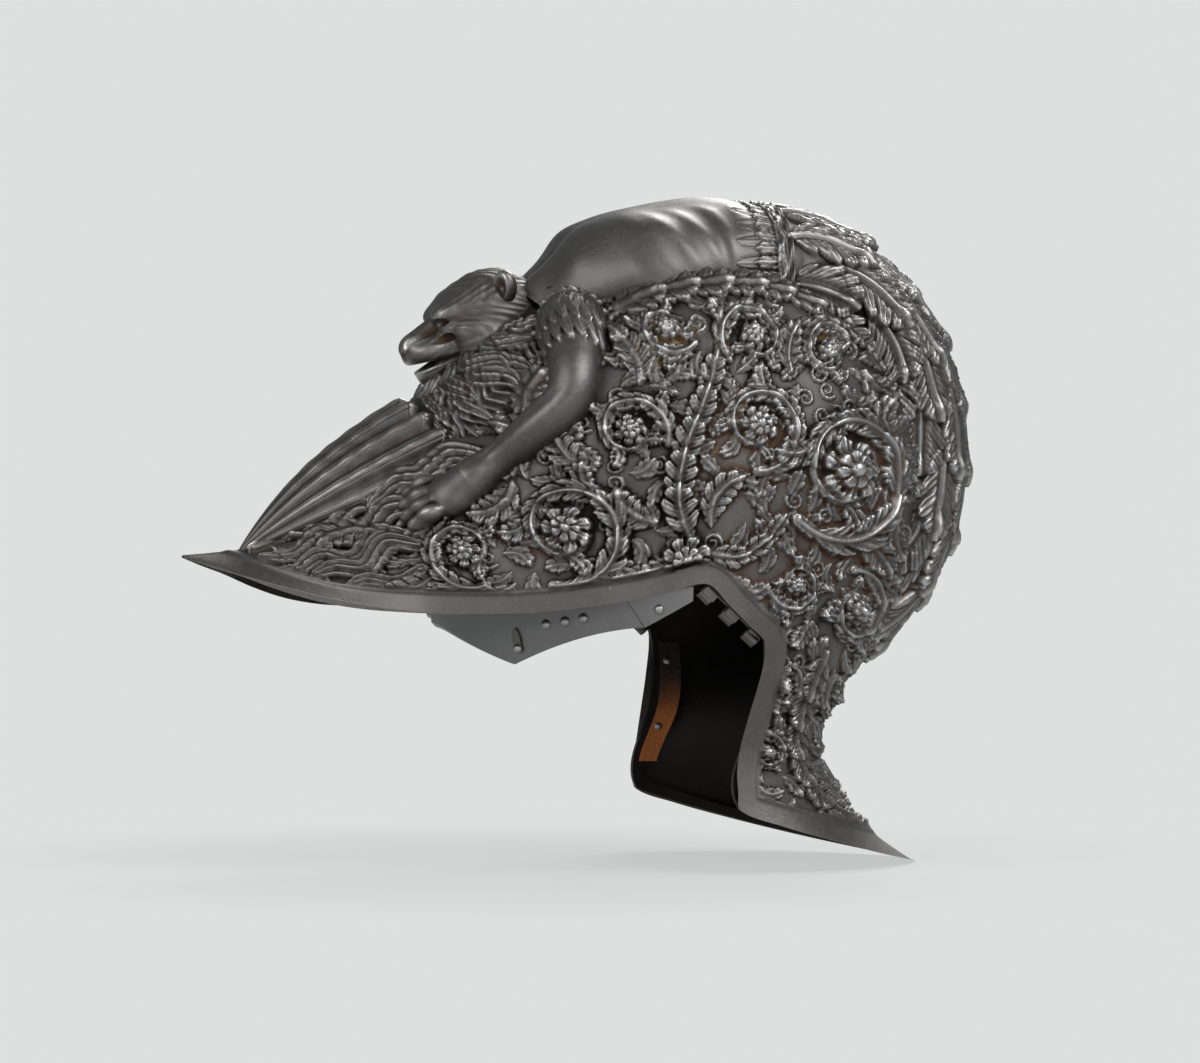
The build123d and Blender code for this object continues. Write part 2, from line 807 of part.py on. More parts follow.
# Hinge leaves at the temples, with three bored knuckles each
for side, name in zip(sides, side_names):
    leaf_sheet = curved_sheet(leaf_outline(), inner_face, leaf_thickness, side)
    middle, axis, inward = hinge_line(side)
    with BuildPart() as leaf:
        add(leaf_sheet)
        with BuildSketch(*[Plane(middle + axis * place, z_dir=axis) for place in knuckle_places]):
            Circle(knuckle_diameter / 2)
        extrude(amount=knuckle_length / 2, both=True)
        for place in knuckle_places:
            # the tab bends in from the leaf to the pin's line
            bend = hinge_inset + place * math.tan(math.radians(hinge_lean))
            with BuildSketch(Plane(middle + axis * place, x_dir=inward, z_dir=axis)):
                with Locations((-bend / 2, 0)):
                    Rectangle(bend, tab_bend_share * knuckle_diameter)
            extrude(amount=knuckle_length / 2, both=True)
        drill([Plane(middle, z_dir=axis)], knuckle_bore, hinge_length)
        drill([leaf_rivet_place(end, side) for end in (-1, 1)], flush_hole)
    leaf.part.label = f"hinge_leaf_{name}"
    finished.append(leaf)
    print(leaf.part.label, "pin axis through", middle, "along", axis)

# Strap remnant of the lining, on the right of the neck
strap_sheet = curved_sheet(strap_outline(), inner_face, strap_thickness, 1)
with BuildPart() as lining_strap:
    add(strap_sheet)
    drill(strap_fix_places, neck_hole)
lining_strap.part.label = "lining_strap"
finished.append(lining_strap)

# Leaf-shaped washer under the stud at the left temple, bent to the plate
leaf_top = bowl_lump(inner_face - temple_leaf_thickness - head_seat)
leaf_seat = bowl_lump(inner_face - head_seat)
with BuildPart() as temple_leaf:
    with BuildSketch(temple_stud_place):
        with Locations(((temple_leaf_length - temple_leaf_width) / 2, 0)):
            Ellipse(temple_leaf_length / 2, temple_leaf_width / 2)
    extrude(amount=temple_leaf_length, both=True)
    add(leaf_top, mode=Mode.INTERSECT)
    add(leaf_seat, mode=Mode.SUBTRACT)
    drill([temple_stud_place], dome_hole)
temple_leaf.part.label = "temple_leaf"
finished.append(temple_leaf)

# Rivets, one node for each job
dome_rivet = rivet(dome_rivet_shank, plate_thickness, dome_rivet_head, dome_rivet_rise)
stud_grip = plate_thickness + temple_leaf_thickness + head_seat
stud = rivet(dome_rivet_shank, stud_grip, temple_leaf_width, dome_rivet_rise)
stud_seat = temple_stud_place.offset(temple_leaf_thickness + 2 * head_seat)
plate_grip = inner_face + plate_thickness + head_seat
leaf_grip = inner_face + leaf_thickness + head_seat
strap_grip = inner_face + strap_thickness + head_seat
plate_fixing = [flush_rivet(place, flush_rivet_shank, plate_grip) for place in side_fix_places]
for place in brow_fix_places:
    stand = peak_stand(place)
    plate_fixing.append(flush_rivet(place.offset(stand), flush_rivet_shank, plate_grip + stand))
rivet_groups = {
    "lining_rivets": [dome_rivet.moved(place.offset(head_seat).location) for place in lining_rivet_places],
    "side_plate_rivets": [dome_rivet.moved(place.offset(head_seat).location) for place in side_rivet_places],
    "temple_stud": [stud.moved(stud_seat.location)],
    "plate_fixing_rivets": plate_fixing,
    "hinge_rivets": [flush_rivet(place, flush_rivet_shank, leaf_grip) for place in leaf_fix_places],
    "strap_rivets": [flush_rivet(place, neck_rivet_shank, strap_grip) for place in strap_fix_places],
}
for name, rivets in rivet_groups.items():
    with BuildPart() as group:
        add(rivets)
    group.part.label = name
    finished.append(group)

os.makedirs("parts", exist_ok=True)
for piece in finished:
    export_step(piece.part, f"parts/{piece.part.label}.step")
    print(piece.part.label, len(piece.part.solids()), round(piece.part.volume), piece.part.bounding_box())
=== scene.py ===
import bpy
import math
import numpy as np
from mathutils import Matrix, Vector
from mathutils.bvhtree import BVHTree


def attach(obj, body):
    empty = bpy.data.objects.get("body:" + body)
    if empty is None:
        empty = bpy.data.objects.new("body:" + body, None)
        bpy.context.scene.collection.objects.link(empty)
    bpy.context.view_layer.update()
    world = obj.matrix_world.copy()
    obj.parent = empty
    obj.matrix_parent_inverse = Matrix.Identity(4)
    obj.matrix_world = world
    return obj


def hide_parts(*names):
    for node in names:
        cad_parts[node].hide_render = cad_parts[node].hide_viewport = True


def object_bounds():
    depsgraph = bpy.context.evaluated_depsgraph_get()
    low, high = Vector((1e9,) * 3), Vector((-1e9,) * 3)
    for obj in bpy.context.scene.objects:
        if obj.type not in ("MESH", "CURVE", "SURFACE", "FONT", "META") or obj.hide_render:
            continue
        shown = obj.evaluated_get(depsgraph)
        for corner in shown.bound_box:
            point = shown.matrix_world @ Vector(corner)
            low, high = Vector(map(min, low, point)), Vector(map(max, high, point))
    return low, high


# An embossed steel burgonet: the bowl, its crest, mane, head, forelegs and shell are built here as grids of
# points in millimetres, in the same frame as the solids, and become meshes in metres.
# The wearer faces -X, up is +Z, and the near side in the photograph is -Y.

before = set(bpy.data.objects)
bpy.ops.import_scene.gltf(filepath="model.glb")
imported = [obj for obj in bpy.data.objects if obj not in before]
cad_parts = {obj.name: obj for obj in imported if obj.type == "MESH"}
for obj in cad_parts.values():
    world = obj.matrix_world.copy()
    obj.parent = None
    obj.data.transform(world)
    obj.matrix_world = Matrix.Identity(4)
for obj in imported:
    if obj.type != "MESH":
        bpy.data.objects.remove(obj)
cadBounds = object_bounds()
mm = 0.001
# rows and columns of each grid, as a draft and in full
gridSizes = {
    "back": ((150, 100), (330, 230)), "tail": ((190, 110), (420, 220)), "head": ((110, 120), (250, 270)),
    "ear": ((60, 60), (60, 60)), "mane": ((90, 200), (160, 400)), "shell": ((90, 150), (190, 380)),
    "leg": ((110, 60), (240, 130)), "paw": ((70, 80), (150, 170)),
}


def sizeOf(name):
    return gridSizes[name][1]


# shared tools
def through(rows, where):
    # smooth curve through rows of (place, values...): a cubic per span, sloped like the chord of its neighbours
    rows = np.asarray(rows, float)
    place, value = rows[:, 0], rows[:, 1:]
    low = np.maximum(np.arange(len(rows)) - 1, 0)
    high = np.minimum(np.arange(len(rows)) + 1, len(rows) - 1)
    slope = (value[high] - value[low]) / (place[high] - place[low])[:, None]
    where = np.clip(where, place[0], place[-1])
    k = np.clip(np.searchsorted(place, where, side="right") - 1, 0, len(rows) - 2)
    step = (place[k + 1] - place[k])[..., None]
    t = (where - place[k])[..., None] / step
    rise = value[k + 1] - value[k]
    bend = (slope[k] * step - rise) * (1 - t) + (rise - slope[k + 1] * step) * t
    result = value[k] + rise * t + t * (1 - t) * bend
    return result[..., 0] if value.shape[1] == 1 else result


def chordLength(points):
    # the length of a path from its start to each of its points
    return np.concatenate([[0], np.cumsum(np.linalg.norm(np.diff(points, axis=0), axis=1))])


def smoothPath(points, count):
    # a curve through the points, sampled evenly by chord length
    points = np.asarray(points, float)
    chord = chordLength(points)
    fine = through(np.column_stack([chord, points]), np.linspace(0, chord[-1], 4 * count))
    length = chordLength(fine)
    even = np.linspace(0, length[-1], count)
    return np.column_stack([np.interp(even, length, fine[:, k]) for k in range(points.shape[1])])


def ramp(value, low, high):
    # 0 below low, 1 above high, an eased step between
    t = np.clip((value - low) / (high - low), 0, 1)
    return t * t * (3 - 2 * t)


def bell(value, width):
    # 1 at nothing, falling to 0 a few widths away on both sides
    return np.exp(-((value / width) ** 2))


def dome(share):
    # the height of a half circle at a share of its radius
    return np.sqrt(np.clip(1 - share**2, 0, 1))


def fullTurn(count):
    return np.linspace(0, 2 * np.pi, count, endpoint=False)[None, :]


def unit(vectors):
    return vectors / np.maximum(np.linalg.norm(vectors, axis=-1, keepdims=True), 1e-9)


def blurred(grid, reach, wrap=(False, False)):
    # mean over a square of cells around each grid point, by running sums along both directions
    for axis in (0, 1):
        mode = "wrap" if wrap[axis] else "edge"
        pad = [(0, 0), (0, 0)]
        pad[axis] = (reach + 1, reach)
        total = np.cumsum(np.pad(grid, pad, mode=mode), axis=axis)
        span = 2 * reach + 1
        ahead = [slice(None)] * 2
        behind = [slice(None)] * 2
        ahead[axis] = slice(span, None)
        behind[axis] = slice(None, -span)
        grid = (total[tuple(ahead)] - total[tuple(behind)]) / span
    return grid


def gridQuads(rows, columns, wrapColumns=False, flip=False):
    # the four corners of each cell of a grid, counted row by row
    i, j = np.meshgrid(np.arange(rows - 1), np.arange(columns if wrapColumns else columns - 1), indexing="ij")
    nextJ = (j + 1) % columns
    below = (i + 1) * columns
    quads = np.stack([i * columns + j, i * columns + nextJ, below + nextJ, below + j], -1).reshape(-1, 4)
    return quads[:, ::-1] if flip else quads


def gridNormals(points, wrap=(False, False)):
    # cross product of the two directions of a grid
    def along(axis):
        if wrap[axis]:
            return np.roll(points, -1, axis) - np.roll(points, 1, axis)
        return np.gradient(points, axis=axis)

    return unit(np.cross(along(1), along(0)))


def linked(name, data):
    # an object for the data, put in the scene
    made = bpy.data.objects.new(name, data)
    bpy.context.scene.collection.objects.link(made)
    return made


def putMesh(name, parts, finish="embossedSteel"):
    # parts: (points in mm, quads, tones); all become one mesh, with tone kept as a point attribute
    points, quads, tones, start = [], [], [], 0
    for place, corners, tone in parts:
        place = np.asarray(place, float).reshape(-1, 3)
        points.append(place)
        quads.append(np.asarray(corners) + start)
        tones.append(np.broadcast_to(np.asarray(tone, float).ravel(), (len(place),)))
        start += len(place)
    points, quads, tones = np.concatenate(points), np.concatenate(quads), np.concatenate(tones)
    mesh = bpy.data.meshes.new(name)
    mesh.vertices.add(len(points))
    mesh.vertices.foreach_set("co", (points * mm).astype(np.float32).ravel())
    mesh.loops.add(quads.size)
    mesh.loops.foreach_set("vertex_index", quads.astype(np.int32).ravel())
    mesh.polygons.add(len(quads))
    mesh.polygons.foreach_set("loop_start", np.arange(0, quads.size, quads.shape[1], dtype=np.int32))
    mesh.update(calc_edges=True)
    mesh.validate()
    mesh.shade_smooth()
    # the tone becomes painted shade in hollows and painted highlight on ridges, along with oxide and wear
    worn = mesh.attributes.new("tone", "FLOAT", "POINT")
    worn.data.foreach_set("value", np.clip(tones, 0, 1).astype(np.float32))
    piece = linked(name, mesh)
    mesh.materials.append(steels[finish])
    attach(piece, "root")
    return piece


def toneOf(height, reach, scale, wrap=(False, False)):
    # 0.5 on flat ground, towards 1 on ridges and towards 0 in hollows: height over its local mean. The finish turns it
    # into colour: darker hollows, part oxide and part painted shade, and brighter ridges, part wear and part painted
    # highlight
    wide = height - blurred(height, reach, wrap)
    fine = height - blurred(height, max(reach // 3, 1), wrap)
    return 0.5 + (0.5 * wide + 0.35 * fine) / scale


# embossing tools
# A plate is a dictionary: flat chart coordinates x and y of its points, and the height h beaten up there.
def plateOf(chartX, chartY, keep=0.3):
    return {"x": chartX.ravel(), "y": chartY.ravel(), "h": np.zeros(chartX.size), "keep": keep}


def nearPath(plate, path, reach):
    # the points within reach of a path: their numbers, share along it, and distance to its left
    low, high = path.min(0) - reach, path.max(0) + reach
    x, y = plate["x"], plate["y"]
    near = np.flatnonzero((x > low[0]) & (x < high[0]) & (y > low[1]) & (y < high[1]))
    px, py = x[near], y[near]
    span = np.diff(path, axis=0)
    length = np.hypot(span[:, 0], span[:, 1])
    start = np.concatenate([[0], np.cumsum(length)])
    best = np.full(near.size, 1e9)
    along, side = np.zeros(near.size), np.zeros(near.size)
    for k in range(len(span)):
        dx, dy = px - path[k, 0], py - path[k, 1]
        t = np.clip((dx * span[k, 0] + dy * span[k, 1]) / length[k] ** 2, 0, 1)
        ox, oy = dx - t * span[k, 0], dy - t * span[k, 1]
        far = ox * ox + oy * oy
        closer = far < best
        best[closer] = far[closer]
        along[closer] = (start[k] + t[closer] * length[k]) / start[-1]
        side[closer] = np.sign(span[k, 0] * dy[closer] - span[k, 1] * dx[closer])
    return near, along, side * np.sqrt(best)


def lay(plate, near, form, share, moat=0.25):
    # puts a form over what is there; share is distance over half width: 1 at its edge, with a groove just outside
    cover = 1 - ramp(share, 0.86, 1.0)
    h = plate["h"]
    ground = h[near] - moat * (1 - ramp(share, 1.0, 1.35)) * (share >= 0.9)
    h[near] = ground * (1 - cover) + (form + plate["keep"] * h[near]) * cover


def stem(plate, path, width, height, thin=0.35, twist=0.0):
    # a round ridge, thinner towards its end, with two grooves along it or a rope's twist
    near, along, side = nearPath(plate, path, width * 1.6)
    half = width / 2 * (1 - (1 - thin) * along)
    share = np.abs(side) / half
    form = height * (0.25 + 0.75 * dome(share)) * (0.7 + 0.3 * (1 - along))
    form -= 0.22 * height * bell(share - 0.45, 0.14)
    if twist:
        form += 0.22 * height * np.sin(twist * along - 2.2 * side / half)
    lay(plate, near, form, share)


def leaf(plate, path, width, height, lobes=5, lean=0.9, curl=0.45, blunt=1.2, cut=1.0, flute=0.0):
    # an acanthus leaf: flutes run from its midrib out to rounded lobes that lean forward, and its tip rolls up
    near, along, side = nearPath(plate, path, width * 0.75)
    half = width / 2
    out = np.abs(side) / half
    phase = lobes * along - lean * out + 0.1
    off = phase - np.round(phase)
    lobe = np.abs(np.cos(np.pi * off)) ** 0.6
    envelope = np.sin(np.pi * np.clip(along, 0, 1) ** blunt) ** 0.55
    edge = np.maximum(half * envelope * (0.70 + 0.30 * lobe), 0.3)
    share = np.abs(side) / edge
    form = 0.50 + 0.28 * dome(share) + 0.20 * lobe * ramp(out, 0.15, 0.7)
    form += 0.10 * np.cos(6 * np.pi * off) * ramp(out, 0.10, 0.35)
    split = (0.5 - np.abs(off)) / 0.075
    form -= 0.36 * cut * np.exp(-(split**2)) * ramp(out, 0.25, 0.6)
    form -= 0.40 * cut * np.exp(-(split**2) / 2 - ((out - 0.36) / 0.07) ** 2)
    form += flute * np.cos(2 * np.pi * 3.5 * out * (1 - 0.35 * along))
    rib = 0.05 * half + 0.3
    form += 0.20 * bell(side, rib) - 0.20 * bell(np.abs(side) - 2.4 * rib, rib)
    form += curl * bell(along - 0.86, 0.10) * bell(side, 0.6 * half)
    lay(plate, near, height * form * (0.62 + 0.38 * along), share)


def stalk(plate, path, width, height, count, lobes=4):
    # a sheath of leaves along a path: each springs from inside the one before, so the last is laid first
    for k in range(count - 1, -1, -1):
        first, last = k / (count + 0.7), min((k + 1.75) / (count + 0.7), 1.0)
        low = int(first * (len(path) - 1))
        high = max(int(last * (len(path) - 1)), low + 3)
        size = 1 - 0.35 * k / count
        leaf(plate, path[low:high + 1], width * size, height * size, lobes=lobes, curl=0.35, blunt=1.35)


def lock(plate, path, width, height, strands=3, thin=0.25):
    # a tress of hair: a round ridge of several strands that narrow together to its tip
    near, along, side = nearPath(plate, path, width * 0.8)
    swell = np.sin(np.pi * np.clip(0.14 + 0.86 * along, 0, 1)) ** 0.5
    half = width / 2 * np.maximum(swell, thin * (1 - along) + 0.12)
    share = np.abs(side) / half
    form = height * (0.3 + 0.7 * dome(share))
    form *= 0.80 + 0.20 * np.cos(2 * np.pi * strands * side / (2 * half))
    lay(plate, near, form, share, moat=0.3)


def rosette(plate, centre, radius, height, petals=7, turn=0.0):
    # two rings of fluted petals round a boss: each petal's edge is a lobe of the cosine, its flutes a faster one
    x, y = plate["x"] - centre[0], plate["y"] - centre[1]
    near = np.flatnonzero((np.abs(x) < radius * 1.3) & (np.abs(y) < radius * 1.3))
    far, angle = np.hypot(x[near], y[near]), np.arctan2(y[near], x[near]) + turn
    for ring, size in ((0.0, 1.0), (0.5, 0.60)):
        phase = petals * (angle + 0.35 * far / radius) / (2 * np.pi) + ring
        off = phase - np.round(phase)
        lobe = np.abs(np.cos(np.pi * off)) ** 0.6
        edge = radius * size * (0.72 + 0.28 * lobe)
        share = far / edge
        form = 0.45 + 0.30 * dome(share) + 0.22 * lobe + (0.35 if ring else 0)
        form -= 0.34 * bell(0.5 - np.abs(off), 0.09) * ramp(share, 0.2, 0.6)
        form += 0.09 * np.cos(6 * np.pi * off) * ramp(share, 0.3, 0.6)
        lay(plate, near, height * form, share)
    share = far / (0.22 * radius)
    lay(plate, near, height * (1.0 + 0.6 * dome(share)), share)


def arcPath(start, end, bend, count=24):
    # a curve from start to end that swells to its left by a share of the chord
    start, end = np.asarray(start, float), np.asarray(end, float)
    chord = end - start
    left = np.array([-chord[1], chord[0]])
    t = np.linspace(0, 1, count)[:, None]
    return start + chord * t + left * bend * 4 * t * (1 - t)


def spiralPath(centre, radius, startAngle, turns, count=90, inner=0.2):
    # a spiral inwards: the radius falls evenly from full to its inner share; turns may be negative
    t = np.linspace(0, 1, count)
    angle = math.radians(startAngle) + 2 * np.pi * turns * t
    far = radius * (1 - (1 - inner) * t**0.9)
    return np.column_stack([centre[0] + far * np.cos(angle), centre[1] + far * np.sin(angle)])


def scroll(plate, centre, radius, startAngle, turns, width, height, flower=0.46, leaves=8, size=0.8, seed=1):
    # a rinceau: a leafy sheath that thins to a spiral stem, leaves on both sides, and a flower at its heart
    rng = np.random.default_rng(seed)
    path = spiralPath(centre, radius, startAngle, turns)
    hand = 1 if turns > 0 else -1
    step = np.gradient(path, axis=0)
    for k, t in enumerate(np.linspace(0.10, 0.78, leaves)):
        at = int(t * (len(path) - 1))
        along = step[at] / np.hypot(*step[at])
        outer = k % 2 == 0
        away = np.array([along[1], -along[0]]) * (hand if outer else -hand)
        reach = radius * size * (1 - 0.45 * t) * rng.uniform(0.85, 1.1) * (1.0 if outer else 0.66)
        tip = path[at] + reach * (0.70 * along + 0.72 * away)
        bend = (0.18 if outer else -0.2) * hand
        leaf(plate, arcPath(path[at], tip, bend), reach * 0.66, height * rng.uniform(0.85, 1.1), lobes=4)
    stem(plate, path, width, height * 0.85, thin=0.5)
    stalk(plate, path[:int(0.56 * len(path))], width * 2.5, height * 1.05, 4)
    rosette(plate, centre, radius * flower, height * 1.2, turn=rng.uniform(0, 1))


# plain form of the bowl and peak
bowlForm = {
    "earPlane": 22.0, "crown": 145.0, "widest": 45.0, "occiput": 60.0, "halfWidth": 86.0,
    "front": 106.0, "back": 86.0, "skirt": 88.0, "frontPower": 1.7, "backPower": 2.2,
    "frontSkirt": [(0.0, 1.0), (0.25, 0.98), (0.55, 0.94), (1.0, 0.92)],
    "backSkirt": [(0.0, 1.0), (0.135, 0.975), (0.31, 0.84), (0.455, 0.65), (0.57, 0.51), (0.655, 0.47),
                  (0.765, 0.56), (0.88, 0.73), (0.96, 0.93), (1.0, 1.05)],
    "sideSkirt": [(0.0, 1.0), (0.23, 0.985), (0.40, 0.94), (0.53, 0.88), (0.63, 0.85), (0.75, 0.87),
                  (0.88, 0.92), (1.0, 0.98)],
    "melt": 160.0,
}
peakForm = {
    "tip": -169.5, "tipHeight": 31.5, "length": 161.5, "halfWidth": 83.0, "rise": 66.0, "rimDrop": 20.3,
    "width": [(0.0, 0.02), (0.06, 0.115), (0.12, 0.205), (0.214, 0.337), (0.31, 0.458), (0.40, 0.56),
              (0.49, 0.663), (0.585, 0.735), (0.68, 0.807), (0.77, 0.867), (0.865, 0.920), (0.93, 0.944),
              (1.0, 0.950)],
    "ridge": [(0.0, 0.0), (0.12, 0.03), (0.214, 0.15), (0.31, 0.36), (0.40, 0.58), (0.49, 0.80), (0.60, 0.95),
              (1.0, 1.0)],
    "bulge": [(0.0, 0.57), (0.3, 0.60), (0.5, 0.68), (0.7, 0.80), (1.0, 0.88)],
    "bulgeHeight": 0.54, "fallBehind": -160000.0,
    "rim": [(-0.03, 0.0), (0.0, 0.04), (0.12, 0.35), (0.30, 0.75), (0.46, 0.95), (0.64, 1.0), (0.83, 0.84)],
}


def reachOf(size, mid, power, skirt, z):
    # how far an oval reaches at a height: a dome above its widest level, the skirt's profile below
    f = bowlForm
    rise = np.clip((z - mid) / (f["crown"] - mid), 0, 1)
    above = size * (1 - rise**power) ** (1 / power)
    below = size * through(skirt, np.clip((mid - z) / (mid + f["skirt"]), 0, 1))
    return np.where(z >= mid, above, below)


def bowlSquare(x, z):
    # square of the bowl's half breadth at a side-view place: level ovals about the ear plane
    f = bowlForm
    wide = reachOf(f["halfWidth"], f["widest"], f["backPower"], f["sideSkirt"], z)
    front = reachOf(f["front"], f["widest"], f["frontPower"], f["frontSkirt"], z)
    back = reachOf(f["back"], f["occiput"], f["backPower"], f["backSkirt"], z)
    reach = np.maximum(np.where(x < f["earPlane"], front, back), 1.0)
    return wide**2 * (1 - ((x - f["earPlane"]) / reach) ** 2)


def peakSquare(x, z):
    # the same for the peak: an arc through rim, bulge and ridge in each section square to its length
    f = peakForm
    along = (x - f["tip"]) / f["length"]
    side = f["halfWidth"] * through(f["width"], along)
    ridge = f["tipHeight"] + f["rise"] * through(f["ridge"], along)
    rim = f["tipHeight"] - f["rimDrop"] * through(f["rim"], along)
    y1, z1 = side, rim
    y2, z2 = side * through(f["bulge"], along), rim + f["bulgeHeight"] * (ridge - rim)
    y3, z3 = 0 * side, ridge
    twice = 2 * (y1 * (z2 - z3) + y2 * (z3 - z1) + y3 * (z1 - z2))
    twice = np.where(np.abs(twice) < 1e-6, 1e-6, twice)
    s1, s2, s3 = y1**2 + z1**2, y2**2 + z2**2, y3**2 + z3**2
    yc = (s1 * (z2 - z3) + s2 * (z3 - z1) + s3 * (z1 - z2)) / twice
    zc = (s1 * (y3 - y2) + s2 * (y1 - y3) + s3 * (y2 - y1)) / twice
    radius = np.hypot(y1 - yc, z1 - zc)
    arc = yc + np.sqrt(np.clip(radius**2 - (z - zc) ** 2, 0, None))
    arc = np.where(z < rim, side, arc)
    square = arc * np.abs(arc)
    return np.where(along <= 1.0, square, f["fallBehind"] * (along - 1) + square)


def formSquare(x, z):
    # the larger of the two squares, melted together where they meet
    a, b, k = bowlSquare(x, z), peakSquare(x, z), bowlForm["melt"]
    return 0.5 * (a + b + np.sqrt((a - b) ** 2 + k * k))


def placeOn(x, z):
    # points of the near (left) half and their outward normals, from the slopes of the square
    square = np.clip(formSquare(x, z), 0, None)
    y = -np.sqrt(square)
    e = 0.4
    gx = (formSquare(x + e, z) - formSquare(x - e, z)) / (2 * e)
    gz = (formSquare(x, z + e) - formSquare(x, z - e)) / (2 * e)
    return np.stack([x, y, z], -1), unit(np.stack([-gx, 2 * y, -gz], -1))


# the fan of lines that covers one side, and its plain border inside the rim
fan = {
    "lines": 944, "steps": 250, "draftScale": 0.45, "sideWeight": 0.6, "toneReach": 7, "toneScale": 2.0,
    "border": 7.5, "borderEase": 1.6, "borderRise": 0.10, "borderTone": 0.56, "beadHeight": 0.55, "beadWidth": 0.9,
    # the nape: behind this x, from this height down; the relief fades between two distances from the midline
    "napeBehind": 50, "napeTop": 42.0, "napeEase": 22, "napeFadeBelow": 15, "napeFade": (8.0, 27.0), "napeLeft": 0.06,
    # where a line starts under the crest and ends on the rim, side view; above 1, its steps crowd to its start
    "pairs": [
        (-169.5, 31.5, -169.5, 30.7, 1.0), (-159.0, 32.4, -161.0, 27.6, 1.0), (-149.0, 33.6, -151.5, 24.4, 1.0),
        (-135.0, 41.2, -139.5, 19.6, 1.0), (-119.5, 55.1, -126.0, 15.4, 1.0), (-105.0, 69.6, -112.0, 12.9, 1.0),
        (-90.0, 80.0, -97.0, 11.8, 1.0), (-70.0, 86.0, -80.0, 11.2, 1.0), (-46.0, 104.0, -62.0, 11.5, 1.05),
        (-31.0, 121.0, -46.0, 12.9, 1.1), (-14.0, 129.0, -27.0, 15.6, 1.15), (10.0, 133.5, -9.0, 19.4, 1.2),
        (35.0, 132.5, 3.0, 22.0, 1.2), (60.0, 124.5, 11.0, 14.4, 1.2), (78.0, 110.5, 18.5, 7.1, 1.2),
        (90.0, 93.0, 24.0, 1.8, 1.25), (97.0, 75.0, 24.4, -4.5, 1.3), (99.5, 56.0, 22.5, -15.5, 1.35),
        (97.5, 37.0, 20.0, -26.5, 1.45), (90.5, 17.5, 17.9, -36.5, 1.6), (80.0, 0.0, 16.8, -44.5, 1.7),
        (68.5, -16.5, 16.9, -51.8, 1.8), (62.6, -32.0, 17.5, -58.5, 1.8), (63.5, -45.0, 33.0, -64.3, 1.8),
        (70.5, -57.0, 55.0, -70.6, 1.8), (82.0, -68.5, 77.0, -76.2, 1.8), (95.0, -77.6, 94.0, -80.0, 1.6),
        (103.0, -81.4, 103.0, -81.9, 1.4),
    ],
}


def fanGrid(lines, steps):
    # side-view grid: each line runs from its start to the rim, its steps closer where the form turns away
    rows = np.array(fan["pairs"])
    fine = 4000
    top, foot = smoothPath(rows[:, 0:2], fine), smoothPath(rows[:, 2:4], fine)
    key = np.linspace(0, 1, len(rows))

    def shareOf(line, places):
        length = chordLength(line)
        nearest = [np.argmin(np.hypot(*(line - place).T)) for place in places]
        return length[nearest] / length[-1]

    topShare, footShare = shareOf(top, rows[:, 0:2]), shareOf(foot, rows[:, 2:4])
    spread = fan["sideWeight"] * topShare + (1 - fan["sideWeight"]) * footShare
    t = np.interp(np.linspace(0, 1, lines), spread, key)
    pick = lambda line, share: np.column_stack(
        [np.interp(np.interp(t, key, share), np.linspace(0, 1, fine), line[:, k]) for k in (0, 1)])
    start, end = pick(top, topShare), pick(foot, footShare)
    # at the nape the lines start on the midline, so that both halves meet there
    f = bowlForm
    nape = f["earPlane"] + reachOf(f["back"], f["occiput"], f["backPower"], f["backSkirt"], start[:, 1])
    onNape = ramp(fan["napeTop"] - start[:, 1], 0, fan["napeEase"]) * (start[:, 0] > fan["napeBehind"])
    start[:, 0] += (nape - start[:, 0]) * onNape
    power = np.interp(t, key, rows[:, 4])[:, None]
    s = np.linspace(0, 1, steps)[None, :]
    share = s**power
    x = start[:, :1] + (end[:, :1] - start[:, :1]) * share
    z = start[:, 1:] + (end[:, 1:] - start[:, 1:]) * share
    return x, z, end


def rimDistance(x, z, rimLine, reach=16.0):
    # the distance of each point from the rim, no more than the reach
    near, along, side = nearPath(plateOf(x, z), rimLine[::8], reach)
    far = np.full(x.size, reach)
    far[near] = np.minimum(np.abs(side), reach)
    return far.reshape(x.shape)


# finishes
def node(tree, kind, **sockets):
    # adds a node and fills its sockets: a pair is a link from (node, output name), anything else a value
    made = tree.nodes.new(kind)
    for name, value in sockets.items():
        if name.startswith("set_"):
            setattr(made, name[4:], value)
            continue
        target = made.inputs[int(name[1:])] if name[0] == "i" and name[1:].isdigit() else made.inputs[name]
        if isinstance(value, tuple) and len(value) == 2 and hasattr(value[0], "outputs"):
            tree.links.new(value[0].outputs[value[1]], target)
        else:
            target.default_value = value
    return made


wearAndShadeSteel = {
    "cloudScale": 38.0, "broadScale": 11.0, "gritScale": 420.0, "speckScale": 260.0, "scratchScale": 1300.0,
    "rustDark": (0.050, 0.022, 0.010, 1), "rustLight": (0.22, 0.105, 0.05, 1), "gilt": (0.52, 0.29, 0.06, 1),
    # roughness in hollows and on ridges, how far clouds and grit shift the tone, and the bump's height in metres
    "roughness": (0.62, 0.38), "toneShift": 0.22, "gritRoughness": 0.30, "rustRoughness": 0.35, "rustDulling": 0.85,
    "bump": 0.0004,
}


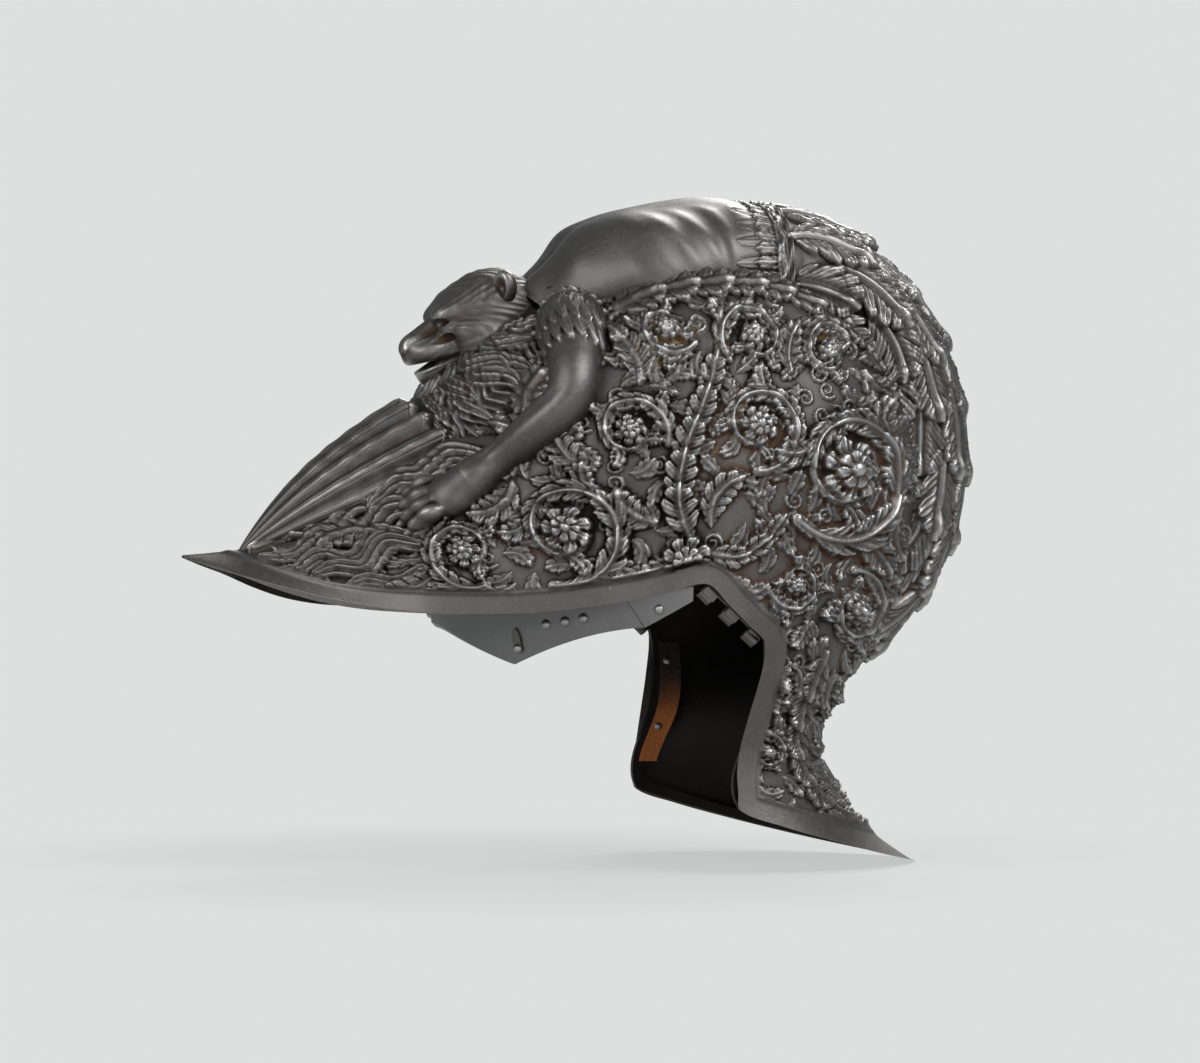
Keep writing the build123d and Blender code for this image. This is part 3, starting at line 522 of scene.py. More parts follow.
def wearAndShadeSteelGroup():
    # colour, roughness and normal of old steel from a tone: dark in hollows, oxide and painted shade, and bright on
    # ridges, wear and painted highlight
    w = wearAndShadeSteel
    group = bpy.data.node_groups.new("wearAndShadeSteel", "ShaderNodeTree")
    face = group.interface
    for names, kind, way in (
            (("Tone", "Rust", "Gilt", "Grain", "Pits"), "Float", "INPUT"),
            (("Dark", "Middle", "Bright"), "Color", "INPUT"),
            (("Color",), "Color", "OUTPUT"), (("Roughness", "Metallic"), "Float", "OUTPUT"),
            (("Normal",), "Vector", "OUTPUT")):
        for name in names:
            face.new_socket(name=name, in_out=way, socket_type="NodeSocket" + kind)
    given = group.nodes.new("NodeGroupInput")
    sent = group.nodes.new("NodeGroupOutput")
    place = (node(group, "ShaderNodeTexCoord"), "Object")
    cloud = node(group, "ShaderNodeTexNoise", Vector=place, Scale=w["cloudScale"], Detail=6.0, Roughness=0.62)
    broad = node(group, "ShaderNodeTexNoise", Vector=place, Scale=w["broadScale"], Detail=3.0, Roughness=0.5)
    grit = node(group, "ShaderNodeTexNoise", Vector=place, Scale=w["gritScale"], Detail=4.0, Roughness=0.7)
    specks = node(group, "ShaderNodeTexVoronoi", Vector=place, Scale=w["speckScale"], Randomness=1.0)
    stretch = node(group, "ShaderNodeMapping", Vector=place, Scale=(1.0, 0.25, 1.0), Rotation=(0.5, 0.2, 0.8))
    scratch = node(group, "ShaderNodeTexNoise", Vector=(stretch, "Vector"), Scale=w["scratchScale"], Detail=2.0)

    def maths(kind, a, b=0.0, clamp=False):
        return (node(group, "ShaderNodeMath", set_operation=kind, set_use_clamp=clamp, i0=a, i1=b), 0)

    def mix(factor, a, b):
        return (node(group, "ShaderNodeMix", set_data_type="RGBA", i0=factor, i6=a, i7=b), 2)

    def span(value, low, high, to=(0.0, 1.0)):
        made = node(group, "ShaderNodeMapRange", Value=value, i1=low, i2=high, i3=to[0], i4=to[1])
        made.interpolation_type = "SMOOTHSTEP"
        return (made, 0)

    cloudy = maths("SUBTRACT", (cloud, "Fac"), 0.5)
    gritty = maths("SUBTRACT", (grit, "Fac"), 0.5)
    tone = maths("ADD", (given, "Tone"), maths("MULTIPLY", cloudy, w["toneShift"]))
    tone = maths("ADD", tone, maths("MULTIPLY", gritty, w["toneShift"]))
    lower = span(tone, 0.12, 0.55)
    upper = span(tone, 0.50, 1.15)
    steel = mix(upper, mix(lower, (given, "Dark"), (given, "Middle")), (given, "Bright"))
    hollow = span((given, "Tone"), 0.5, 0.2)
    rustPatch = maths("MULTIPLY", span((broad, "Fac"), 0.46, 0.62), hollow)
    rustMask = maths("MULTIPLY", rustPatch, (given, "Rust"), True)
    rustColour = mix((cloud, "Fac"), w["rustDark"], w["rustLight"])
    giltPatch = maths("MULTIPLY", span((cloud, "Fac"), 0.60, 0.66), hollow)
    giltMask = maths("MULTIPLY", giltPatch, (given, "Gilt"), True)
    colour = mix(giltMask, mix(rustMask, steel, rustColour), w["gilt"])
    rough = maths("ADD", span(tone, 0.15, 0.9, w["roughness"]), maths("MULTIPLY", gritty, w["gritRoughness"]))
    rough = maths("ADD", rough, maths("MULTIPLY", rustMask, w["rustRoughness"]), True)
    metal = maths("SUBTRACT", 1.0, maths("MULTIPLY", rustMask, w["rustDulling"]), True)
    pit = maths("MULTIPLY", span((specks, "Distance"), 0.16, 0.0), maths("MULTIPLY", (given, "Pits"), -0.5))
    relief = maths("ADD", maths("MULTIPLY", gritty, 0.6), maths("MULTIPLY", (scratch, "Fac"), 0.25))
    relief = maths("ADD", maths("MULTIPLY", relief, (given, "Grain")), pit)
    bump = node(group, "ShaderNodeBump", Strength=0.5, Distance=w["bump"], Height=relief)
    for name, link in (("Color", colour), ("Roughness", rough), ("Metallic", metal), ("Normal", (bump, 0))):
        group.links.new(link[0].outputs[link[1]], sent.inputs[name])
    return group


# dark, middle and bright are the colours the tone mixes: painted shade and oxide towards dark, painted highlight and
# wear towards bright
finishes = {
    "embossedSteel": dict(dark=(0.012, 0.010, 0.009), middle=(0.115, 0.108, 0.102), bright=(0.47, 0.46, 0.45),
                          rust=0.5, gilt=0.15, grain=1.0, pits=0.6, tone=None),
    "insideSteel": dict(dark=(0.006, 0.005, 0.005), middle=(0.030, 0.026, 0.024), bright=(0.10, 0.09, 0.085),
                        rust=0.7, gilt=0.0, grain=1.3, pits=1.0, tone=0.45),
    "plainSteel": dict(dark=(0.05, 0.048, 0.046), middle=(0.16, 0.158, 0.155), bright=(0.34, 0.34, 0.335),
                       rust=0.25, gilt=0.0, grain=0.7, pits=0.5, tone=0.62),
    "hingeSteel": dict(dark=(0.03, 0.028, 0.026), middle=(0.11, 0.105, 0.10), bright=(0.34, 0.33, 0.32),
                       rust=0.5, gilt=0.0, grain=0.7, pits=0.5, tone=0.6),
    "rivetSteel": dict(dark=(0.05, 0.047, 0.045), middle=(0.30, 0.29, 0.28), bright=(0.62, 0.61, 0.60),
                       rust=0.2, gilt=0.0, grain=0.5, pits=0.3, tone=0.66),
}
steelGroup = wearAndShadeSteelGroup()


def emptied(data):
    # the node tree of a new material or world, with nothing in it
    data.use_nodes = True
    data.node_tree.nodes.clear()
    return data.node_tree


def sendOut(tree, shader, kind="ShaderNodeOutputMaterial"):
    tree.links.new(shader.outputs[0], tree.nodes.new(kind).inputs[0])


def steel(name):
    f = finishes[name]
    material = bpy.data.materials.new(name)
    tree = emptied(material)
    # the group paints the tone: painted shade and oxide in hollows, painted highlight and wear on ridges
    worn = tree.nodes.new("ShaderNodeGroup")
    worn.node_tree = steelGroup
    if f["tone"] is None:
        tone = node(tree, "ShaderNodeAttribute", set_attribute_name="tone", set_attribute_type="GEOMETRY")
        tree.links.new(tone.outputs["Fac"], worn.inputs["Tone"])
    else:
        worn.inputs["Tone"].default_value = f["tone"]
    for socket in ("Dark", "Middle", "Bright"):
        worn.inputs[socket].default_value = (*f[socket.lower()], 1)
    for socket in ("Rust", "Gilt", "Grain", "Pits"):
        worn.inputs[socket].default_value = f[socket.lower()]
    shader = node(tree, "ShaderNodeBsdfPrincipled")
    for socket, output in (("Base Color", "Color"), ("Roughness", "Roughness"), ("Metallic", "Metallic"),
                           ("Normal", "Normal")):
        tree.links.new(worn.outputs[output], shader.inputs[socket])
    sendOut(tree, shader)
    return material


steels = {name: steel(name) for name in finishes}
print("finishes made")


# the embossed sides
sideDesign = {
    # tresses round the shell: points, width, height
    "tresses": [
        ([(-76, 63), (-90, 61), (-98, 52), (-111, 50), (-120, 42), (-134, 40), (-146, 33)], 9.0, 2.8),
        ([(-76, 56), (-88, 50), (-100, 48), (-109, 39), (-122, 38), (-132, 31), (-144, 30)], 9.0, 2.6),
        ([(-84, 46), (-94, 38), (-104, 39), (-113, 30), (-124, 31), (-132, 26), (-141, 26.5)], 8.5, 2.4),
        ([(-92, 35), (-102, 36), (-110, 27), (-120, 27), (-129, 23)], 8.0, 2.2),
        ([(-92, 27), (-100, 22), (-110, 23), (-118, 20)], 6.5, 1.9),
        ([(-66, 66), (-78, 68), (-88, 60), (-97, 58), (-106, 48)], 9.0, 2.6),
    ],
    # scrolls: middle, radius, start angle, turns, stem width, height, seed
    "scrolls": [
        ((-78, 33), 13.5, -60, -1.35, 3.4, 2.4, 5), ((-44, 41), 20.5, -105, 1.5, 4.4, 2.9, 3),
        ((-22, 76), 13.0, -20, 1.35, 3.4, 2.5, 11), ((22, 78), 16.5, -95, 1.45, 4.0, 2.8, 9),
        ((24, 109), 12.5, 205, -1.35, 3.4, 2.5, 7), ((61, 13), 14.0, 100, -1.4, 3.6, 2.5, 13),
        ((35, 22), 10.0, 190, 1.3, 3.0, 2.3, 15), ((56, 62), 27.0, -140, 1.6, 5.4, 3.4, 17),
        ((52, 104), 11.0, 30, 1.3, 3.0, 2.3, 19), ((60, -19), 9.0, 120, 1.3, 2.8, 2.1, 21),
        ((32, -14), 8.0, 60, -1.3, 2.6, 2.1, 23), ((28, -38), 7.0, 90, -1.2, 2.4, 2.0, 25),
        ((-6, 112), 10.0, -30, -1.3, 3.0, 2.3, 27),
    ],
    # sheaths: points, width, height, leaves
    "stalks": [
        ([(-3, 37), (-7, 52), (-4, 70), (4, 88), (10, 104)], 14.0, 3.4, 5),
        ([(2, 33), (14, 32), (24, 38), (31, 47)], 10.0, 2.8, 3),
        ([(50, -2), (42, -20), (40, -36), (48, -52), (64, -63), (84, -73), (98, -79)], 12.0, 2.6, 9),
        ([(-6, 31), (-16, 27), (-28, 24), (-38, 21)], 7.5, 2.4, 3),
        ([(-22, 119), (-8, 125), (12, 129), (34, 128), (56, 120), (74, 106), (86, 90), (93, 72)], 12.0, 2.4, 11),
    ],
    # single leaves: start, end, bend, width, height
    "leaves": [
        ((-54, 80), (-44, 98), 0.15, 11, 2.2), ((-42, 62), (-38, 80), 0.15, 10, 2.2),
        ((-60, 70), (-48, 84), -0.15, 9, 2.0), ((-86, 27), (-106, 18), 0.12, 11, 2.3),
        ((-104, 40), (-124, 34), -0.14, 10, 2.2), ((-62, 22), (-78, 17), 0.15, 9, 2.2),
        ((-60, 58), (-76, 46), 0.2, 12, 2.6), ((-50, 66), (-64, 78), -0.2, 12, 2.6),
        ((-34, 62), (-46, 78), 0.2, 12, 2.6), ((-14, 44), (-28, 56), 0.2, 12, 2.7),
        ((4, 42), (16, 60), 0.2, 12, 2.9), ((-18, 92), (-24, 112), -0.15, 12, 2.6),
        ((36, 96), (42, 114), 0.15, 11, 2.5), ((66, 98), (80, 88), -0.15, 12, 2.7),
        ((80, 74), (86, 58), -0.15, 12, 2.7), ((78, 44), (82, 30), -0.15, 11, 2.6),
        ((72, 28), (80, 14), 0.15, 11, 2.5), ((40, 8), (34, 0), 0.1, 8, 2.2),
        ((46, -26), (54, -40), 0.2, 9, 2.2), ((26, -24), (22, -34), 0.1, 7, 2.0), ((64, -4), (74, 4), -0.2, 9, 2.3),
    ],
    "boss": ((-4, 30.5), 9.5, 3.4),
    # small leaves on bare ground: tries, the area as two spans, and each leaf's bend, width, two ends and height
    "trefoils": 1500, "trefoilArea": (-135, 92, -76, 126), "trefoilCell": 3.0, "trefoilSeed": 21,
    "trefoilBend": (-0.3, 0.3), "trefoilWidth": (5.0, 7.5), "trefoilSpan": (-4.5, 5.5), "trefoilHeight": 1.6,
    # one try in so many makes a tendril: radius, turns, width, height
    "tendrilEvery": 5, "tendril": (3.4, 1.4, 1.5, 1.3),
}


def embossSide(plate):
    # foliage on one side, in side-view millimetres: what lies deepest comes first
    d = sideDesign
    fillGround(plate)
    for rows, wide, high in d["tresses"]:
        lock(plate, smoothPath(rows, 48), wide, high)
    for start, end, bend, wide, high in d["leaves"]:
        leaf(plate, arcPath(start, end, bend), wide, high)
    for centre, radius, angle, turns, wide, high, seed in d["scrolls"]:
        scroll(plate, centre, radius, angle, turns, wide, high, seed=seed)
    for rows, wide, high, count in d["stalks"]:
        stalk(plate, smoothPath(rows, 70), wide, high, count)
    rosette(plate, *d["boss"], petals=8)


def fillGround(plate):
    # a loose carpet of small leaves and tendrils: each lies where the ground is still bare
    d = sideDesign
    rng = np.random.default_rng(d["trefoilSeed"])
    bounds, cell, tries = d["trefoilArea"], d["trefoilCell"], d["trefoils"] // 1
    size = (int((bounds[1] - bounds[0]) / cell) + 1, int((bounds[3] - bounds[2]) / cell) + 1)
    taken, there = np.zeros(size, bool), np.zeros(size, bool)
    i = ((plate["x"] - bounds[0]) / cell).astype(int)
    j = ((plate["y"] - bounds[2]) / cell).astype(int)
    ok = (i >= 0) & (j >= 0) & (i < size[0]) & (j < size[1])
    there[i[ok], j[ok]] = True
    for k in range(tries):
        a, b = rng.integers(0, size[0]), rng.integers(0, size[1])
        angle, bend, wide = (rng.uniform(*span) for span in ((0, 2 * np.pi), d["trefoilBend"], d["trefoilWidth"]))
        if taken[a, b] or not there[a, b]:
            continue
        centre = np.array([bounds[0] + (a + 0.5) * cell, bounds[2] + (b + 0.5) * cell])
        way = np.array([math.cos(angle), math.sin(angle)])
        if (k + 1) % d["tendrilEvery"] == 0:
            radius, turns, thick, high = d["tendril"]
            path = spiralPath(centre, radius, math.degrees(angle), turns if bend > 0 else -turns, count=30)
            stem(plate, path, thick, high, thin=0.6)
        else:
            start, end = (centre + place * way for place in d["trefoilSpan"])
            leaf(plate, arcPath(start, end, bend), wide, d["trefoilHeight"], lobes=3)
        taken[max(a - 1, 0):a + 2, max(b - 1, 0):b + 2] = True


def buildSides():
    f = fan
    scale = 1.0
    lines, steps = int(f["lines"] * scale), int(f["steps"] * scale)
    x, z, rimLine = fanGrid(lines, steps)
    points, normals = placeOn(x, z)
    plate = plateOf(x, z)
    embossSide(plate)
    far = rimDistance(x, z, rimLine)
    inside = ramp(far, f["border"], f["border"] + f["borderEase"])
    left = f["napeLeft"] + (1 - f["napeLeft"]) * ramp(np.abs(points[..., 1]), *f["napeFade"])
    inside = inside * np.where((x > f["napeBehind"]) & (z < f["napeFadeBelow"]), left, 1.0)
    height = plate["h"].reshape(x.shape) * inside
    height += f["beadHeight"] * bell(far - f["border"], f["beadWidth"]) + f["borderRise"] * (1 - inside)
    tone = toneOf(height, max(int(f["toneReach"] * scale), 2), f["toneScale"])
    tone = np.where(far < f["border"] - 1, f["borderTone"], tone)
    raised = points + normals * height[..., None]
    # both halves meet on the midline of the nape
    raised[(x[:, 0] > f["napeBehind"]) & (z[:, 0] < f["napeTop"] - f["napeEase"]), 0, 1] = 0.0
    cuts = np.linspace(0, lines - 1, 4).astype(int)
    made = []
    for side, name in ((1, "left"), (-1, "right")):
        placed = raised * np.array([1, side, 1])
        for k, place in enumerate(("peak", "cheek", "neck")):
            part = slice(cuts[k], cuts[k + 1] + 1)
            quads = gridQuads(cuts[k + 1] + 1 - cuts[k], steps, flip=side > 0)
            made.append(putMesh(f"{place}_skin_{name}", [(placed[part], quads, tone[part])]))
    print("sides embossed:", lines, "by", steps)
    return made


# inside and rim
hollow = {
    # a face looks inwards if its normal points to the middle of the head, of the neck or of the space under the peak
    "head": (22.0, 0.0, 40.0), "neck": (0.0, 0.0, -70.0), "peak": (-60.0, 0.0, -20.0), "leastCosine": -0.12,
    # higher up than this, and ahead of that x, a face also has to be in sight of one of these places in the hollow
    "sightAbove": 45, "sightAhead": 30, "off": 0.15,
    "eyes": [(22, 0, 40), (-20, 0, 60), (-38, 28, 50), (-38, -28, 50), (0, 34, 70), (0, -34, 70), (36, 0, 100),
             (-15, 0, 100), (-60, 0, 50), (-60, 0, -20)],
}


def buildInside():
    # the bowl's inner faces and rim, copied from its solid, so that the hollows of comb and mane show from below
    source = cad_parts["bowl"]
    mesh = source.data
    mesh.calc_loop_triangles()
    points = np.empty(len(mesh.vertices) * 3)
    mesh.vertices.foreach_get("co", points)
    turn = np.array(source.matrix_world)
    points = (points.reshape(-1, 3) @ turn[:3, :3].T + turn[:3, 3]) / mm
    corners = np.empty(len(mesh.loop_triangles) * 3, dtype=np.int32)
    mesh.loop_triangles.foreach_get("vertices", corners)
    corners = corners.reshape(-1, 3)
    a, b, c = (points[corners[:, k]] for k in range(3))
    middle = (a + b + c) / 3
    normal = unit(np.cross(b - a, c - a))
    f = hollow
    target = np.tile(f["head"], (len(middle), 1))
    target[middle[:, 2] < 0] = f["neck"]
    target[middle[:, 0] < f["peak"][0]] = f["peak"]
    inward = (normal * unit(target - middle)).sum(1) > f["leastCosine"]
    # the underside of a foreleg only looks that way
    walls = BVHTree.FromPolygons(points.tolist(), corners.tolist())
    eyes = [Vector(eye) for eye in f["eyes"]]
    for k in np.flatnonzero(inward & (middle[:, 2] > f["sightAbove"]) & (middle[:, 0] < f["sightAhead"])):
        start = Vector(middle[k] + f["off"] * normal[k])
        ways = [eye - start for eye in eyes]
        inward[k] = any(walls.ray_cast(start, way.normalized(), way.length)[0] is None for way in ways)
    used, again = np.unique(corners[inward], return_inverse=True)
    return putMesh("bowl_inside", [(points[used], again.reshape(-1, 3), 0.5)], "insideSteel")


# the crest: back, belt and leafy tail
crest = {
    "centre": (39.6, 84.2), "radius": 78.0, "halfWidth": 52.0, "halfHeight": 30.0,
    "rows": [
        (-63.4, 1.27, 0.36, 0.45), (-54.8, 1.215, 0.66, 0.72), (-42.3, 1.172, 0.84, 0.86), (-27.6, 1.096, 0.86, 0.90),
        (-14.0, 1.041, 0.82, 0.90), (-1.0, 0.985, 0.84, 0.92), (11.0, 0.985, 0.90, 0.98), (25.0, 0.975, 0.96, 1.0),
        (40.0, 0.968, 1.0, 1.0), (55.0, 0.972, 1.0, 1.0), (71.0, 0.99, 1.0, 1.0), (87.0, 1.015, 1.0, 1.0),
        (102.0, 1.06, 1.0, 1.0), (117.0, 1.115, 1.02, 0.94), (131.0, 1.18, 1.0, 0.82), (144.0, 1.235, 0.88, 0.60),
        (155.5, 1.30, 0.64, 0.38), (163.5, 1.39, 0.40, 0.24),
    ],
    "beltAngle": 4.0, "leafPitch": 25.0, "leafLength": 44.0, "leafHeight": 3.6, "sunk": 2.2, "halfTurn": 104,
    "backSpan": (-63.4, 6.0), "tailSpan": (4.5, 163.5), "tailSeed": 5, "toneReach": (3, 7), "lighter": 0.05,
    # how much the tail's leaves vary: share of their reach, sideways in mm, bend, share of their height
    "reachSpan": (0.94, 1.04), "swaySpan": (-1, 1), "bendSpan": (-0.05, 0.05), "heightSpan": (0.9, 1.1),
}


def crestGrid(first, last, rows, columns):
    # points across the crest: ellipses square to its top line, and chart lengths along and across
    c = crest
    fine = np.linspace(c["rows"][0][0], c["rows"][-1][0], 2000)
    values = through(c["rows"], fine)
    turn = np.radians(fine)
    far = c["radius"] * values[:, 0]
    top = np.column_stack([c["centre"][0] + far * np.sin(turn), 0 * far, c["centre"][1] + far * np.cos(turn)])
    length = chordLength(top)
    span = np.interp([first, last], fine, length)
    u = np.linspace(*span, rows)
    pick = lambda column: np.interp(u, length, column)
    spine = np.column_stack([pick(top[:, k]) for k in range(3)])
    ahead = unit(np.gradient(spine, axis=0))
    outward = np.column_stack([-ahead[:, 2], 0 * u, ahead[:, 0]])
    wide, high = c["halfWidth"] * pick(values[:, 1]), c["halfHeight"] * pick(values[:, 2])
    angle = np.radians(np.linspace(-c["halfTurn"], c["halfTurn"], columns))
    origin = spine - outward * (high + c["sunk"])[:, None]
    points = origin[:, None] + outward[:, None] * (high[:, None] * np.cos(angle))[..., None]
    points[..., 1] -= wide[:, None] * np.sin(angle)
    across = np.concatenate([np.zeros((rows, 1)), np.cumsum(np.linalg.norm(np.diff(points, axis=1), axis=2), 1)], 1)
    across -= across[:, columns // 2: columns // 2 + 1]
    beltU = np.interp(c["beltAngle"], fine, length)
    return points, np.tile(u[:, None], (1, columns)), across, beltU


def facing(points, outwards, wrap=(False, False)):
    # grid normals, turned to the side that outwards points to; true where they had to be turned
    normals = gridNormals(points, wrap)
    turned = (normals * outwards).sum() < 0
    return (-normals if turned else normals), bool(turned)


def embossed(name, points, outwards, plate, reach, lighter=0.0, wrap=False):
    # beats a plate's height up along the normals of its grid and makes the piece
    normals, turned = facing(points, outwards, (False, wrap))
    height = plate["h"].reshape(points.shape[:2])
    tone = toneOf(height, reach, 2.4, (False, wrap)) + lighter
    quads = gridQuads(*height.shape, wrapColumns=wrap, flip=turned)
    return putMesh(name, [(points + normals * height[..., None], quads, tone)])


back = {
    # heights and widths of the ridges beside the spine, of its furrow and knuckles, and of the ribs
    "ridge": 1.6, "ridgeAt": 9, "ridgeWidth": 6.5, "furrow": 1.1, "furrowWidth": 2.6,
    "knuckle": 0.7, "knuckleWidth": 3.4, "knucklePitch": 8.5, "rib": 0.6, "ribPitch": 12.5, "ribLean": 0.42,
    # swellings of muscle: distance from the belt, distance from the midline, size, height
    "muscles": [(62, 22, 13, 3.4), (76, 12, 9, 2.4), (52, 34, 12, 2.2), (84, 24, 9, 2.2), (14, 24, 11, 2.0),
                (10, 38, 9, 1.4)],
    # at the belt: folds and petals to each side, their pitch (petals: at root and tip), cords' place and thickness
    "folds": 7, "foldPitch": 8.2, "petals": 14, "petalPitch": (5.6, 5.7), "cords": ((-1.2, 4.6), (2.6, 3.6)),
    "cordHeight": 2.4, "cordReach": 90.0, "cordTwist": 95.0,
}


def buildBack():
    b = back
    points, u, v, beltU = crestGrid(*crest["backSpan"], *sizeOf("back"))
    plate = plateOf(u, v, keep=0.6)
    far = beltU - u
    side = np.abs(v)
    h = b["ridge"] * bell(side - b["ridgeAt"], b["ridgeWidth"]) * ramp(far, 3, 16)
    h -= b["furrow"] * bell(v, b["furrowWidth"]) * ramp(far, 3, 16)
    knuckles = 0.5 + 0.5 * np.cos(2 * np.pi * u / b["knucklePitch"])
    h += b["knuckle"] * bell(v, b["knuckleWidth"]) * knuckles * ramp(far, 3, 12)
    ribs = 0.5 + 0.5 * np.cos(2 * np.pi * (far + b["ribLean"] * side) / b["ribPitch"])
    h += (b["rib"] * ribs**1.2 * ramp(side, 15, 26) * (1 - ramp(side, 44, 60)) * ramp(far, 10, 20)
          * (1 - ramp(far, 44, 58)))
    for place, width, reach, high in b["muscles"]:
        h += high * np.exp(-(((far - place) / reach) ** 2 + ((side - width) / (0.9 * reach)) ** 2))
    plate["h"] = h.ravel()
    for k in range(-b["folds"], b["folds"] + 1):
        at = k * b["foldPitch"]
        lock(plate, smoothPath([(beltU - 3, at), (beltU - 10, at * 1.02 + 1), (beltU - 17, at * 1.06)], 16), 5.0, 0.7)
    for k in range(-b["petals"], b["petals"] + 1):
        root, tip = (k * pitch for pitch in b["petalPitch"])
        leaf(plate, arcPath((beltU - 1, root), (beltU - 9.5, tip), 0.0), 6.0, 1.6, lobes=2, curl=0.3)
    for place, thick in b["cords"]:
        at, reach = beltU + place, b["cordReach"]
        stem(plate, np.array([(at, -reach), (at, 0.0), (at, reach)]), thick, b["cordHeight"], thin=1.0,
             twist=b["cordTwist"])
    return crestPiece("crest_back", points, plate)


def crestPiece(name, points, plate):
    outwards = points - points.mean(1, keepdims=True)
    return embossed(name, points, outwards, plate, crest["toneReach"][1], crest["lighter"])


def buildTail():
    # rows of scale leaves that overlap: the hindmost row is laid first
    c = crest
    points, u, v, beltU = crestGrid(*c["tailSpan"], *sizeOf("tail"))
    plate = plateOf(u, v, keep=0.22)
    halfAt = lambda place: np.interp(place, u[:, 0], v[:, -1])
    end = u[-1, 0]
    count = int((end - beltU) / c["leafPitch"])
    rng = np.random.default_rng(c["tailSeed"])
    for k in range(count, -1, -1):
        start = beltU + 1.0 + k * c["leafPitch"]
        reach = c["leafLength"] * (1.0 if start + 30 < end else 0.7)
        half = halfAt(min(start + 0.6 * reach, end))
        number = 7 if half > 50 else 5
        wide = 2 * half / number
        shift = 0.5 * (k % 2)
        for j in range(-number, number + 1):
            at = (j + shift) * wide
            if abs(at) > half:
                continue
            tip = (start + reach * rng.uniform(*c["reachSpan"]), at * 1.04 + rng.uniform(*c["swaySpan"]))
            leaf(plate, arcPath((start, at * 0.98), tip, rng.uniform(*c["bendSpan"])), wide * 1.16,
                 c["leafHeight"] * rng.uniform(*c["heightSpan"]), lobes=4, lean=1.7, blunt=1.25, cut=0.5, flute=0.07)
    return crestPiece("crest_tail", points, plate)


# star surfaces: the outermost skin of melted balls, seen from a middle
def blobField(points, balls, cuts, melt):
    # about the distance to the skin: smooth least of the balls, then cut by the smooth greatest of the hollows
    def far(ball):
        middle, sizes = np.asarray(ball[:3], float), np.asarray(ball[3:6], float)
        share = np.linalg.norm((points - middle) / sizes, axis=-1)
        return (share - 1) * sizes.min()

    total = sum(np.exp(-np.clip(far(ball), -30, 60) / melt) for ball in balls)
    field = -melt * np.log(total + 1e-12)
    for cut in cuts:
        gap = -far(cut)
        field = np.maximum(field, gap) + 0.35 * np.exp(-np.abs(field - gap) / 0.35)
    return field


def starLump(balls, cuts, rows, columns, reach, melt, polar=178.0):
    # rays from the middle in even steps of angle from the pole (+x); each skin point is found by bisection
    theta = np.radians(np.linspace(0.6, polar, rows))[:, None]
    phi = fullTurn(columns)
    ray = np.stack([np.cos(theta) + 0 * phi, np.sin(theta) * np.cos(phi), np.sin(theta) * np.sin(phi)], -1)
    marks = np.linspace(reach, 2.0, 44)
    far = np.full(ray.shape[:2], marks[-1])
    found = np.zeros(ray.shape[:2], bool)
    for k in range(1, len(marks)):
        inside = (~found) & (blobField(ray * marks[k], balls, cuts, melt) < 0)
        far[inside] = marks[k]
        found |= inside
    low, high = far.copy(), far + marks[0] - marks[1]
    for _ in range(9):
        mid = 0.5 * (low + high)
        inside = blobField(ray * mid[..., None], balls, cuts, melt) < 0
        low, high = np.where(inside, mid, low), np.where(inside, high, mid)
    return ray, 0.5 * (low + high)


def placedStar(ray, far, middle, axes, height=0.0):
    # local points (forward, left, up) set in the helmet's frame
    local = ray * (far + height)[..., None]
    return np.asarray(middle) + local @ np.array(axes)


def closedStar(points, tone):
    # the grid of a star surface with a fan of cells closed at its pole and its back
    rows, columns = points.shape[:2]
    flat = points.reshape(-1, 3)
    ends = np.array([points[0].mean(0), points[-1].mean(0)])
    quads = gridQuads(rows, columns, wrapColumns=True)
    j = np.arange(0, columns, 2)
    first = rows * columns
    nose = np.column_stack([np.full(len(j), first), (j + 2) % columns, (j + 1) % columns, j])
    base = (rows - 1) * columns
    back = np.column_stack([np.full(len(j), first + 1), base + j, base + (j + 1) % columns,
                            base + (j + 2) % columns])
    tones = np.concatenate([tone.ravel(), [tone[0].mean(), tone[-1].mean()]])
    return np.concatenate([flat, ends]), np.concatenate([quads, nose, back]), tones


def pair(*ball):
    # the same ball on both sides
    x, y, z, *sizes = ball
    return [(x, y, z, *sizes), (x, -y, z, *sizes)]


